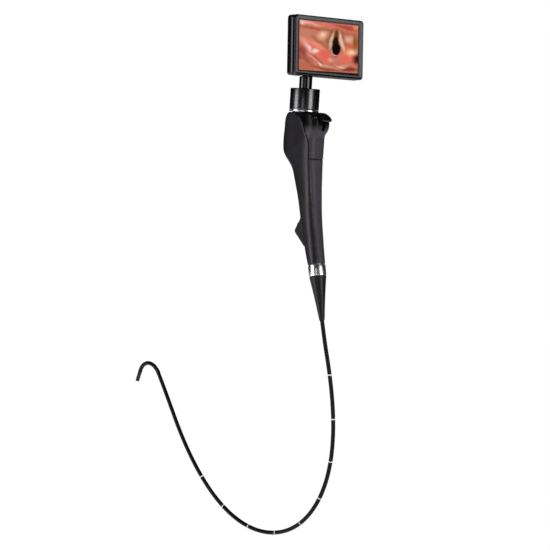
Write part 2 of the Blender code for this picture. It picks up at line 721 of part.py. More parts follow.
def makeChassis(finishes, tail):
    chassis = skinSolid("chassis_frame", handleBottom + clearance, chassisTop, coverWall + clearance, finishes["alloy"],
                        columns=28)
    seatRadius = buttonStop() - buttonFlange - 3.1 * mm - clearance
    switchSeat = arc((leverY, leverZ), seatRadius, buttonAngle - radians(11), buttonAngle + radians(11), 1)
    cheekTop = leverZ + 6.5 * mm
    cheekOutline = [(-5.0 * mm, 38 * mm), (24.0 * mm, 38 * mm), (27.6 * mm, 52 * mm), (27.6 * mm, leverZ - 1 * mm),
                    (12.0 * mm, cheekTop), (-4.0 * mm, cheekTop), *switchSeat, (-6.0 * mm, leverZ - 3 * mm),
                    (-5.0 * mm, 60 * mm)]
    room = skinSolid("cheek_room", 30 * mm, handleTop - 1.9 * mm, coverWall + 2 * clearance, None, columns=28)
    for side in (-1, 1):
        ends = sorted((side * cheekSpread, side * (cheekSpread - cheekThickness)))
        cheek = extruded("cheek", cheekOutline, ends[0], ends[1], None)
        combine(cheek, room, "INTERSECT")
        fuse(chassis, cheek)
    spigot = rod("chassis_spigot", ferruleDiameter - 2 * ferruleWall - 2 * clearance, -spigotLength, 2 * mm, None, tail)
    fuse(chassis, spigot)
    half = serviceWidth / 2
    groove = block("service_groove", (-half, serviceFloor, -14 * mm), (half, 30 * mm, 140 * mm), None, tail)
    shaft = rod("shaft_bore", leverShaftDiameter + 2.4 * mm + 2 * clearance, -15 * mm, 15 * mm, None, along="X",
                place=(0, leverY, leverZ), steps=16)
    cut(chassis, groove, shaft)
    return chassis


def makeLever(finishes):
    place = (leverY, leverZ)
    gap = drumRadius + 0.5 * mm
    web = [*arc(place, leverHubDiameter / 2, radians(230), radians(80), 6),
           *arc(place, gap + 0.8 * mm, radians(149.5), radians(158), 2)]
    lever = extruded("thumb_lever", web, leverOffset - leverWeb / 2, leverOffset + leverWeb / 2, finishes["gloss"])
    y, z = place
    tip = [(y - leverReach + 0.8 * mm, z + 1.9 * mm), (y - leverReach - 0.2 * mm, z + 3.2 * mm),
           (y - leverReach + 0.2 * mm, z + 4.9 * mm), (y - leverReach + 2.4 * mm, z + 7.2 * mm),
           (y - leverReach + 5.4 * mm, z + 9.4 * mm), (y - leverReach + 9.4 * mm, z + 11.5 * mm)]
    pad = [*arc(place, gap, radians(145), radians(176), 6), *tip]
    padSolid = extruded("lever_pad", pad, leverOffset - leverPadWidth / 2, leverOffset + leverPadWidth / 2, None)
    soften = padSolid.modifiers.new("Edges", "BEVEL")
    soften.width = 0.8 * mm
    soften.segments = 2
    soften.limit_method = "ANGLE"
    soften.angle_limit = radians(50)
    hub = rod("lever_hub", leverHubDiameter, -6.5 * mm, 6.5 * mm, None, along="X", place=(0, y, z))
    bore = rod("lever_bore", leverShaftDiameter + 2 * clearance, -12 * mm, 12 * mm, None, along="X", place=(0, y, z),
               steps=16)
    fuse(lever, padSolid, hub)
    cut(lever, bore)
    r = wireDrumDiameter / 2
    half = wireDrumWidth / 2
    inner = leverHubDiameter / 2 + clearance
    turned("wire_drum", [(inner, -half), (r, -half), (r, -half + 0.9 * mm), (r - 1.6 * mm, -0.5 * mm),
                         (r - 1.6 * mm, 0.5 * mm), (r, half - 0.9 * mm), (r, half), (inner, half)],
           finishes["alloy"], along="X", place=(wireDrumX, y, z), steps=28)
    shaftEnd = cheekSpread + 0.2 * mm
    rod("lever_shaft", leverShaftDiameter, -shaftEnd, shaftEnd, finishes["steel"], along="X", place=(0, y, z), steps=16)
    bushOuter = leverShaftDiameter + 2.4 * mm
    for side, name in ((-1, "shaft_bush_left"), (1, "shaft_bush_right")):
        ends = sorted((side * (cheekSpread - cheekThickness - 0.8 * mm), side * cheekSpread))
        ring(name, bushOuter, leverShaftDiameter + 2 * fineClearance, ends[0], ends[1], finishes["brass"], along="X",
             place=(0, y, z), steps=16)


def portFrame():
    """A frame on the port's sloped face: its Z points out of the bore."""
    return addFrame("port_frame", (0, *portFace), (portTurn - pi / 2, 0, 0))


def makePort(finishes):
    outline = [(4 * mm, -12 * mm), (10.9 * mm, -15.5 * mm), (11.4 * mm, -19.5 * mm), (12.9 * mm, -23.4 * mm),
               (15.4 * mm, -26.7 * mm), (18.4 * mm, -30.5 * mm), (20.6 * mm, -33.4 * mm), (21.2 * mm, -35.3 * mm),
               (20.4 * mm, -37.6 * mm), (5.0 * mm, -52.8 * mm), (-2.0 * mm, -55 * mm), (-4 * mm, -30 * mm)]
    half = portWidth / 2
    port = extruded("port_block", outline, -half, half, finishes["grip"])
    soften = port.modifiers.new("Edges", "BEVEL")
    soften.width = 2.2 * mm
    soften.segments = 3
    soften.limit_method = "ANGLE"
    soften.angle_limit = radians(60)
    seat = skinSolid("port_seat", -66 * mm, 2 * mm, -clearance, None, columns=36)
    bore = rod("port_bore", portBore, -portDepth, 6 * mm, None, portFrame(), steps=20)
    cut(port, seat, bore)
    body = portBore / 2 - clearance
    flange = portFlangeDiameter / 2
    turned("port_inlet", [(luerBore / 2, -portDepth + 1 * mm), (body, -portDepth + 1 * mm), (body, clearance),
                          (flange, clearance), (flange, clearance + portRim), (luerBore / 2, clearance + portRim)],
           finishes["steel"], portFrame(), steps=24)
    plug = luerBore / 2 - clearance / 2
    seatHeight = 2 * clearance + portRim
    turned("port_cap", [(0, -3 * mm), (plug, -3 * mm), (plug, seatHeight), (flange - 0.3 * mm, seatHeight),
                        (flange - 0.3 * mm, seatHeight + 0.7 * mm), (0.5 * flange, seatHeight + 1.3 * mm),
                        (0, seatHeight + 1.4 * mm)], finishes["rubber"], portFrame(), steps=24)


def makeTail(finishes, tail):
    r = ferruleDiameter / 2
    inner = r - ferruleWall
    top = -clearance
    low = top - ferruleLength
    turned("ferrule_ring", [(inner, top), (inner, low), (r - 0.25 * mm, low), (r, low + 0.25 * mm),
                            (r, top - 0.25 * mm), (r - 0.25 * mm, top)], finishes["chrome"], tail, 40)
    start = low - clearance
    end = start - bootLength
    tipR, bore = bootTip / 2, bootBore / 2
    rootR = r - 0.15 * mm
    outer = []
    steps = 8
    for k in range(steps + 1):
        t = k / steps
        sag = 0.35 * mm * sin(pi * t)
        outer.append((rootR + (tipR - rootR) * t - sag, start + (end - start) * t))
    turned("boot", [(bore, start - 16 * mm), (inner - 1.2 * mm, start), *outer, (tipR - 0.3 * mm, end - 0.3 * mm),
                    (bore, end - 0.3 * mm)], finishes["rubber"], tail, 32)
    return end - 0.3 * mm


def groovePoint(x, height, rise):
    """A point in the chassis groove, a distance above its floor."""
    y = tailY + tan(tailLean) * (height - handleBottom) + (serviceFloor + rise) / cos(tailLean)
    return Vector((x, y, height))


def makeInnards(finishes, tail):
    """Board, wire guides, channel tube and camera cable in the handle."""
    boardY = 27.6 * mm + clearance
    boardLow, boardHigh = leverZ - 32 * mm, leverZ - 3 * mm
    block("control_board", (-8.2 * mm, boardY, boardLow), (8.2 * mm, boardY + boardThickness, boardHigh),
          finishes["board"])
    block("board_connector", (-4 * mm, boardY + boardThickness + clearance, boardLow + 7 * mm),
          (4 * mm, boardY + boardThickness + 3.4 * mm, boardLow + 13 * mm), finishes["battery"])
    r = wireDrumDiameter / 2 - 0.8 * mm
    rise = clearance + wireGuideDiameter / 2
    x = -serviceWidth / 2 + clearance + wireGuideDiameter / 2
    lanes = (("wire_guide_front", 1, rise + wireGuideDiameter + clearance, (11.6 * mm, 57 * mm)),
             ("wire_guide_back", -1, rise, (8.2 * mm, 49 * mm)))
    for name, side, lane, bend in lanes:
        points = [(wireDrumX, leverY + side * r, leverZ - 7 * mm), (wireDrumX, leverY + side * r, leverZ - 15 * mm),
                  (wireDrumX, *bend)]
        points += [groovePoint(x, h * mm, lane) for h in (42, 30, 10, -15, -40, -62)]
        tube(name, smoothCurve(points, 26), wireGuideDiameter, finishes["steel"], 2)
    rise = clearance + cableDiameter / 2
    points = [(0.9 * mm, boardY + 0.8 * mm, boardLow - 1 * mm), (0.9 * mm, boardY - 5 * mm, boardLow - 4.4 * mm),
              (0.9 * mm, 16 * mm, 44.8 * mm), (0.9 * mm, 10.6 * mm, 40.5 * mm)]
    points += [groovePoint(0.9 * mm, h * mm, rise) for h in (33, 24, 10, -15, -40, -62)]
    tube("camera_cable", smoothCurve(points, 26), cableDiameter, finishes["battery"], 2)


# Insertion tube and bending section

def loopAxes():
    """In-plane directions of the loop, and the hinges' axis across it."""
    forward = Vector((0, 1, 0))
    upward = Vector((-sin(loopLean), 0, cos(loopLean)))
    return forward, upward, forward.cross(upward)


def bendJoints():
    """Place and heading of each hinge of the bending section, first to last, at rest."""
    forward, upward, across = loopAxes()
    place = Vector(bendStart)
    heading = bendHeading
    joints = []
    for k in range(linkCount):
        heading -= bendAtRest / linkCount
        joints.append((place.copy(), heading))
        place += linkLength * (cos(heading) * forward + sin(heading) * upward)
    return joints


def linkFrame(name, place, heading):
    """A frame at a hinge: X across the loop's plane, Z along the link."""
    forward, upward, across = loopAxes()
    along = cos(heading) * forward + sin(heading) * upward
    side = along.cross(across)
    made = addFrame(name, place)
    made.matrix_world = Matrix((across, side, along)).transposed().to_4x4()
    made.location = place
    return made


def slopedRing(name, low, high, lowSlope, highSlope, outer, inner, material, frame, steps=16):
    """A tube whose ends slope away from the hinge line on both sides, so that it can swing."""
    bm = bmesh.new()
    rows = []
    for radius, height, slope in ((outer, low, lowSlope), (outer, high, -highSlope), (inner, high, -highSlope),
                                  (inner, low, lowSlope)):
        row = []
        for k in range(steps):
            a = 2 * pi * k / steps
            y = radius * sin(a)
            row.append(bm.verts.new((radius * cos(a), y, height + abs(y) * tan(slope))))
        rows.append(row)
    for rowA, rowB in zip(rows, [*rows[1:], rows[0]]):
        for k in range(steps):
            n = (k + 1) % steps
            bm.faces.new((rowA[k], rowA[n], rowB[n], rowB[k]))
    return addObject(name, bm, material, frame)


def makeBend(finishes):
    joints = bendJoints()
    outer = linkDiameter / 2
    inner = outer - linkWall
    start = linkFrame("base_frame", Vector(bendStart), bendHeading)
    slopedRing("bending_base_ring", -baseRingLength, -linkGap / 2, 0, linkRelief, outer, inner, finishes["steel"], start)
    for k, (place, heading) in enumerate(joints[:-1], start=1):
        frame = linkFrame(f"link_frame_{k}", place, heading)
        slopedRing(f"bending_link_{k}", linkGap / 2, linkLength - linkGap / 2, linkRelief, linkRelief, outer, inner,
                   finishes["steel"], frame)
    frame = linkFrame("tip_frame", *joints[-1])
    makeTip(finishes, frame)


def makeTip(finishes, frame):
    r = tubeDiameter / 2
    inner = linkDiameter / 2 - linkWall
    slopedRing("distal_sleeve", linkGap / 2, sleeveLength, linkRelief, 0, linkDiameter / 2, inner, finishes["steel"],
               frame)
    neck = inner - clearance
    shoulder = sleeveLength + clearance
    tip = turned("tip_housing", [(0, shoulder - 3 * mm), (neck, shoulder - 3 * mm), (neck, shoulder), (r, shoulder),
                                 (r, tipLength - 0.6 * mm), (r - 0.6 * mm, tipLength), (0, tipLength)],
                 finishes["tip"], frame, 24)
    spots = {"lens": (0, 0.9 * mm, lensDiameter, 5 * mm), "light_left": (-1.4 * mm, 0.1 * mm, windowDiameter, 2 * mm),
             "light_right": (1.4 * mm, 0.1 * mm, windowDiameter, 2 * mm)}
    for name, (x, y, width, depth) in spots.items():
        hole = rod(f"{name}_bore", width + 2 * fineClearance, tipLength - depth, tipLength + 1 * mm, None, frame,
                   steps=16, place=(x, y, 0))
        cut(tip, hole)
    outlet = rod("outlet_bore", outletDiameter, -1 * mm, tipLength + 1 * mm, None, frame, steps=16,
                 place=(0, -1.1 * mm, 0))
    cut(tip, outlet)
    x, y, width, depth = spots["lens"]
    turned("camera_lens", [(0, tipLength - 1.2 * mm), (width / 2, tipLength - 1.2 * mm),
                           (width / 2, tipLength - 0.1 * mm), (width / 3.2, tipLength + 0.06 * mm),
                           (0, tipLength + 0.12 * mm)], finishes["glass"], frame, 16, place=(x, y, 0))
    rod("camera_module", width, tipLength - depth + fineClearance, tipLength - 1.2 * mm - fineClearance,
        finishes["battery"], frame, steps=16, place=(x, y, 0))
    for name in ("light_left", "light_right"):
        x, y, width, depth = spots[name]
        rod(name, width, tipLength - depth + fineClearance, tipLength - 0.05 * mm, finishes["glass"], frame,
            steps=12, place=(x, y, 0))


def makeTube(finishes, bootEnd):
    """The free tube: from inside the boot, round the loop, to the bending section's base ring."""
    along = Vector((0, -sin(tailLean), -cos(tailLean)))
    tailTop = Vector((0, tailY, handleBottom))
    mouth = tailTop - bootEnd * along
    start = mouth - tubeInBoot * along
    forward, upward, across = loopAxes()
    heading = cos(bendHeading) * forward + sin(bendHeading) * upward
    end = Vector(bendStart) - (baseRingLength + clearance) * heading
    route = [start, start.lerp(mouth, 0.5), mouth, *[Vector(p) * mm for p in tubeRoute[1:]], end - 3 * mm * heading, end]
    tube("insertion_tube", smoothCurve(route, 56), tubeDiameter, finishes["tube"], 3)


def makeScrews(finishes, right, chassis):
    """Three screws that hold the right cover on the chassis."""
    for k, (y, z, seat) in enumerate(((20 * mm, 62 * mm, cheekSpread), (5.4 * mm, 26 * mm, 9.7 * mm),
                                      (-6.6 * mm, -47 * mm, 8.2 * mm)), start=1):
        hole = rod(f"screw_hole_{k}", 5.2 * mm, seat - 1 * mm, seat + 6 * mm, None, along="X", place=(0, y, z), steps=20)
        bore = rod(f"screw_bore_{k}", 2.0 * mm + 2 * clearance, seat - 4.6 * mm, seat + 4 * mm, None, along="X",
                   place=(0, y, z), steps=12)
        cut(right, hole)
        cut(chassis, bore)
        low = seat + clearance
        turned(f"cover_screw_{k}", [(0, seat - 4.0 * mm), (1.0 * mm, seat - 4.0 * mm), (1.0 * mm, low), (2.3 * mm, low),
                                    (2.3 * mm, low + 0.9 * mm), (2.0 * mm, low + 1.2 * mm), (0, low + 1.2 * mm)],
               finishes["steel"], along="X", place=(0, y, z), steps=16)


def main():
    clearScene()
    finishes = {
        "monitor": finish("monitor_plastic", (0.03, 0.03, 0.034), 0.35),
        "glass": finish("glass", (0.05, 0.05, 0.06), 0.05),
        "image": finish("screen_image", (0.75, 0.42, 0.35), 0.3),
        "board": finish("circuit_board", (0.02, 0.14, 0.06), 0.5),
        "battery": finish("battery_wrap", (0.12, 0.12, 0.13), 0.5),
        "steel": finish("steel", (0.62, 0.62, 0.64), 0.25, 1.0),
        "chrome": finish("chrome", (0.85, 0.85, 0.87), 0.08, 1.0),
        "blackMetal": finish("black_metal", (0.02, 0.02, 0.022), 0.15, 0.6),
        "led": finish("led", (0.9, 0.9, 0.95), 0.3),
        "rubber": finish("rubber", (0.03, 0.03, 0.03), 0.6),
        "grip": finish("grip_plastic", (0.045, 0.043, 0.05), 0.5),
        "gloss": finish("gloss_black", (0.012, 0.012, 0.014), 0.1),
        "alloy": finish("cast_alloy", (0.5, 0.5, 0.52), 0.45, 1.0),
        "brass": finish("brass", (0.7, 0.52, 0.22), 0.3, 1.0),
        "tube": finish("tube_sheath", (0.025, 0.025, 0.027), 0.35),
        "tip": finish("tip_steel", (0.3, 0.3, 0.32), 0.3, 1.0),
    }
    head = addFrame("head_frame", (0, headY, headZ), (headLean, 0, 0))
    tail = addFrame("tail_frame", (0, tailY, handleBottom), (-tailLean, 0, 0))
    makeMonitor(finishes)
    stemLow = makeHead(finishes, head)
    left, right, lower, upper = makeCovers(finishes)
    makeCap(finishes, head, stemLow)
    makeButton(finishes)
    chassis = makeChassis(finishes, tail)
    makeLever(finishes)
    makePort(finishes)
    makeScrews(finishes, right, chassis)
    makeInnards(finishes, tail)
    bootEnd = makeTail(finishes, tail)
    makeTube(finishes, bootEnd)
    makeBend(finishes)


main()
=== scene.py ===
import bpy
from math import cos, exp, pi, radians, sin, tan
from mathutils import Matrix, Vector


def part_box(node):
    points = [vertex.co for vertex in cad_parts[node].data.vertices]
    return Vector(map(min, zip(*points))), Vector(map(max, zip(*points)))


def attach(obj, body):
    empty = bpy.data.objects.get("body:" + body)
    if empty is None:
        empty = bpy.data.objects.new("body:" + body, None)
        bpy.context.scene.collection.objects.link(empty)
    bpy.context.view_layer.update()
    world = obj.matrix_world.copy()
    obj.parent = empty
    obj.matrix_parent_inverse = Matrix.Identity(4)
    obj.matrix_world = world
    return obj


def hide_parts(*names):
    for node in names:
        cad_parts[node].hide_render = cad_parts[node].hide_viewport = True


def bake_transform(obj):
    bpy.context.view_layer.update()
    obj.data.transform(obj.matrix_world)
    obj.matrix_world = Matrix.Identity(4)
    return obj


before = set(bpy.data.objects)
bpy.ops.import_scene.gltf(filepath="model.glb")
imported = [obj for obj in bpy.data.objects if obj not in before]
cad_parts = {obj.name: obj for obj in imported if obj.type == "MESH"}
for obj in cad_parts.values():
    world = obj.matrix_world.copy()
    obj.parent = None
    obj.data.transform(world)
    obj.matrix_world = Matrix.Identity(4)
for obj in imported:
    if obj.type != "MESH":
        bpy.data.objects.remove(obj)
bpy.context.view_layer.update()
mm = 0.001
scene = bpy.context.scene


# working tools

def deselectAll():
    if bpy.context.object and bpy.context.object.mode != "OBJECT":
        bpy.ops.object.mode_set(mode="OBJECT")
    bpy.ops.object.select_all(action="DESELECT")


def pick(piece):
    deselectAll()
    piece.select_set(True)
    bpy.context.view_layer.objects.active = piece


def editAll(piece):
    pick(piece)
    bpy.ops.object.mode_set(mode="EDIT")
    bpy.ops.mesh.select_all(action="SELECT")


def selectFaces(piece, test):
    bpy.ops.object.mode_set(mode="OBJECT")
    for part in (piece.data.vertices, piece.data.edges):
        for item in part:
            item.select = False
    for face in piece.data.polygons:
        face.select = bool(test(face))
    bpy.ops.object.mode_set(mode="EDIT")
    bpy.ops.mesh.select_mode(type="FACE")


def applyAll(piece):
    pick(piece)
    for step in list(piece.modifiers):
        bpy.ops.object.modifier_apply(modifier=step.name)


def softenEdges(piece, width, segments, angle=35):
    step = piece.modifiers.new("softEdges", "BEVEL")
    step.width = width * mm
    step.segments = segments
    step.limit_method = "ANGLE"
    step.angle_limit = radians(angle)
    applyAll(piece)


def smoothFaces(piece, angle):
    pick(piece)
    bpy.ops.object.shade_smooth_by_angle(angle=radians(angle))


# large flat faces keep their own direction beside rounded edges
def evenNormals(piece):
    step = piece.modifiers.new("evenNormals", "WEIGHTED_NORMAL")
    step.keep_sharp = True
    step.weight = 80


def give(piece, body, finish, slot, *nodes):
    piece.data.materials.clear()
    piece.data.materials.append(finishes[finish])
    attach(piece, body)
    if nodes:
        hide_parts(*nodes)
    return piece


def turnOutwards(piece):
    editAll(piece)
    bpy.ops.mesh.normals_make_consistent(inside=False)
    bpy.ops.object.mode_set(mode="OBJECT")


def carve(piece, *cutters, operation="DIFFERENCE"):
    turnOutwards(piece)
    for cutter in cutters:
        turnOutwards(cutter)
        step = piece.modifiers.new("carve", "BOOLEAN")
        step.operation = operation
        step.solver = "EXACT"
        step.object = cutter
        applyAll(piece)
        bpy.data.objects.remove(cutter, do_unlink=True)


# a disc drawn up ring by ring, (radius, height) in mm, closed at both ends
def turnedPiece(name, profile, place, steps=96):
    deselectAll()
    bpy.ops.mesh.primitive_circle_add(vertices=steps, radius=profile[0][0] * mm, fill_type="NGON",
                                      location=(0, 0, profile[0][1] * mm))
    piece = bpy.context.object
    piece.name = name
    bpy.ops.object.transform_apply(location=True)
    editAll(piece)
    for (r0, h0), (r1, h1) in zip(profile, profile[1:]):
        bpy.ops.mesh.extrude_region_move(TRANSFORM_OT_translate={"value": (0, 0, (h1 - h0) * mm)})
        bpy.ops.transform.resize(value=(r1 / r0, r1 / r0, 1))
    turnOutwards(piece)
    piece.data.transform(place)
    smoothFaces(piece, 40)
    return piece


# section of a ring: edge is the rounding of its outer corners, middle a point on the way round
def ringProfile(radius, low, high, wall, edge, middle):
    inset, rise = middle
    lower = [(radius - wall, low), (radius - edge, low), (radius - inset, low + rise), (radius, low + edge)]
    return lower + [(r, low + high - h) for r, h in reversed(lower)]


# a round rod in mm, drawn along Z and turned
def rodPiece(radius, length, steps, rotation, place=(0, 0, 0)):
    deselectAll()
    bpy.ops.mesh.primitive_cylinder_add(vertices=steps, radius=radius * mm, depth=length * mm,
                                        rotation=rotation, location=Vector(place) * mm)
    bpy.ops.object.transform_apply(location=True, rotation=True)
    return bpy.context.object


def boxPiece(name, low, high):
    deselectAll()
    size = [(b - a) * mm for a, b in zip(low, high)]
    middle = [(a + b) / 2 * mm for a, b in zip(low, high)]
    bpy.ops.mesh.primitive_cube_add(size=1, location=middle, scale=size)
    piece = bpy.context.object
    piece.name = name
    bpy.ops.object.transform_apply(location=True, rotation=True, scale=True)
    return piece


# the CAD node's own mesh, merged and with its quads back
def copyOfNode(node, name):
    piece = bpy.data.objects.new(name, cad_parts[node].data.copy())
    scene.collection.objects.link(piece)
    editAll(piece)
    bpy.ops.mesh.remove_doubles(threshold=0.002 * mm)
    bpy.ops.mesh.tris_convert_to_quads(face_threshold=radians(50), shape_threshold=radians(60))
    bpy.ops.object.mode_set(mode="OBJECT")
    return piece


# remeshed fine and relaxed, so that every edge gets a moulded radius
def meltedCopy(nodes, name, voxel, passes):
    pieces = [copyOfNode(node, name) for node in nodes]
    deselectAll()
    for piece in pieces:
        piece.select_set(True)
    piece = pieces[0]
    bpy.context.view_layer.objects.active = piece
    if len(pieces) > 1:
        bpy.ops.object.join()
    step = piece.modifiers.new("remesh", "REMESH")
    step.mode = "VOXEL"
    step.voxel_size = voxel * mm
    step.use_smooth_shade = True
    applyAll(piece)
    step = piece.modifiers.new("relax", "SMOOTH")
    step.factor = 0.5
    step.iterations = passes
    applyAll(piece)
    return piece


# materials

def connect(tree, node, inputs):
    for key, value in inputs.items():
        if isinstance(value, bpy.types.NodeSocket):
            tree.links.new(value, node.inputs[key])
        else:
            node.inputs[key].default_value = value
    return node


def addNode(tree, kind, inputs=None, **settings):
    node = tree.nodes.new("ShaderNode" + kind)
    for key, value in settings.items():
        setattr(node, key, value)
    return connect(tree, node, inputs or {})


def calc(tree, operation, a, b=0.0, c=0.0, clamp=False):
    return addNode(tree, "Math", {0: a, 1: b, 2: c}, operation=operation, use_clamp=clamp).outputs[0]


def spread(tree, value, low, high, toLow=0.0, toHigh=1.0):
    ends = {"Value": value, "From Min": low, "From Max": high, "To Min": toLow, "To Max": toHigh}
    return addNode(tree, "MapRange", ends, interpolation_type="SMOOTHSTEP").outputs[0]


def blendColours(tree, factor, a, b, mode="MIX"):
    return addNode(tree, "Mix", {0: factor, 6: a, 7: b}, data_type="RGBA", blend_type=mode).outputs[2]


def noise(tree, place, scale, detail, **more):
    return addNode(tree, "TexNoise", {"Vector": place, "Scale": scale, "Detail": detail, **more}).outputs


# every group reads a place and a few numbers, and gives numbers that change over the surface
def groupWith(name, inputs, outputs):
    group = bpy.data.node_groups.new(name, "ShaderNodeTree")
    group.interface.new_socket("Vector", in_out="INPUT", socket_type="NodeSocketVector")
    for label, value in inputs.items():
        socket = group.interface.new_socket(label, in_out="INPUT", socket_type="NodeSocketFloat")
        socket.default_value = value
    for label in outputs:
        group.interface.new_socket(label, in_out="OUTPUT", socket_type="NodeSocketFloat")
    return group, group.nodes.new("NodeGroupInput").outputs, group.nodes.new("NodeGroupOutput")


# fine moulded texture: Height for a bump, Tone for colour, Sheen for roughness
def makeGrainGroup():
    group, given, result = groupWith("mouldedGrain", {"Scale": 900.0, "Coarseness": 0.5},
                                     ("Height", "Tone", "Sheen"))
    place, scale = given["Vector"], given["Scale"]
    cells = addNode(group, "TexVoronoi", {"Vector": place, "Scale": scale}, feature="SMOOTH_F1")
    haze = noise(group, place, calc(group, "MULTIPLY", scale, 0.35), 5.0, Roughness=0.6)[0]
    cloud = noise(group, place, 38.0, 4.0)[0]
    mixed = addNode(group, "Mix", {0: given["Coarseness"], 2: haze, 3: cells.outputs["Distance"]})
    connect(group, result, {"Height": mixed.outputs[0], "Tone": haze, "Sheen": cloud})
    return group


# smudges and hair scratches left by gloves and wiping
def makeHandlingGroup():
    group, given, result = groupWith("handlingMarks", {"Amount": 0.5}, ("Smudge", "Scratch"))
    place, amount = given["Vector"], given["Amount"]
    patches = spread(group, noise(group, place, 55.0, 3.0, Distortion=0.6)[0], 0.45, 0.75)
    smudge = calc(group, "MULTIPLY", patches, noise(group, place, 400.0, 2.0)[0])
    streaked = {"Vector": place, "Rotation": (0.4, 0.7, 0.2), "Scale": (1.0, 0.04, 0.3)}
    turned = addNode(group, "Mapping", streaked)
    scratch = spread(group, noise(group, turned.outputs[0], 2600.0, 1.0)[0], 0.68, 0.78)
    connect(group, result, {"Smudge": calc(group, "MULTIPLY", smudge, amount),
                            "Scratch": calc(group, "MULTIPLY", scratch, amount)})
    return group


# fine lathe rings across the upright axis: Height for a bump, Tone for colour and gloss
def makeTurningGroup():
    group, given, result = groupWith("latheRings", {"Pitch": 5000.0}, ("Height", "Tone"))
    stretched = addNode(group, "Mapping", {"Vector": given["Vector"], "Scale": (0.02, 0.02, 1.0)})
    rings = noise(group, stretched.outputs[0], given["Pitch"], 3.0)[0]
    connect(group, result, {"Height": rings, "Tone": noise(group, given["Vector"], 60.0, 3.0)[0]})
    return group


groups = {"grain": makeGrainGroup(), "handling": makeHandlingGroup(), "turning": makeTurningGroup()}


def useGroup(tree, group, inputs):
    return addNode(tree, "Group", inputs, node_tree=groups[group]).outputs


def startMaterial(name):
    made = bpy.data.materials.new(name)
    made.use_nodes = True
    tree = made.node_tree
    return made, tree, tree.nodes["Principled BSDF"], tree.nodes.new("ShaderNodeTexCoord").outputs["Object"]


def opaque(colour):
    return (*colour, 1)


# roughness that wanders a little either side of its middle
def wander(tree, pattern, look):
    return spread(tree, pattern, 0.3, 0.7, look["rough"] - look["vary"], look["rough"] + look["vary"])


# satin or glossy moulding: two tones, grain in the bump, smudges in the gloss
def mouldedPlastic(name, look):
    made, tree, shader, place = startMaterial(name)
    grain = useGroup(tree, "grain", {"Vector": place, "Scale": look["grain"], "Coarseness": look["coarse"]})
    marks = useGroup(tree, "handling", {"Vector": place, "Amount": look["marks"]})
    tone = spread(tree, grain["Tone"], 0.35, 0.65)
    colour = blendColours(tree, tone, opaque(look["dark"]), opaque(look["light"]))
    rough = calc(tree, "MULTIPLY_ADD", marks["Smudge"], 0.35, wander(tree, grain["Sheen"], look))
    bump = addNode(tree, "Bump", {"Height": grain["Height"], "Strength": look["bump"], "Distance": 0.12 * mm})
    connect(tree, shader, {
        "Base Color": blendColours(tree, marks["Smudge"], colour, opaque(look["dust"])),
        "Roughness": calc(tree, "MULTIPLY_ADD", marks["Scratch"], 0.2, rough, clamp=True),
        "Normal": bump.outputs[0], "Specular IOR Level": look.get("specular", 0.5),
        "Specular Tint": opaque(look.get("sheen", (1.0, 1.0, 1.0)))})
    made.diffuse_color = opaque(look["light"])
    return made


# metal off the lathe or out of a mould, with fine rings and smudges in its gloss
def workedMetal(name, look):
    made, tree, shader, place = startMaterial(name)
    rings = useGroup(tree, "turning", {"Vector": place, "Pitch": look["pitch"]})
    marks = useGroup(tree, "handling", {"Vector": place, "Amount": look["marks"]})
    rough = wander(tree, rings["Tone"], look)
    bump = addNode(tree, "Bump", {"Height": rings["Height"], "Strength": look["bump"], "Distance": 0.05 * mm})
    connect(tree, shader, {
        "Base Color": blendColours(tree, rings["Tone"], opaque(look["dark"]), opaque(look["light"])),
        "Metallic": look.get("metal", 1.0), "Normal": bump.outputs[0],
        "Roughness": calc(tree, "MULTIPLY_ADD", marks["Smudge"], 0.25, rough, clamp=True)})
    made.diffuse_color = opaque(look["light"])
    return made


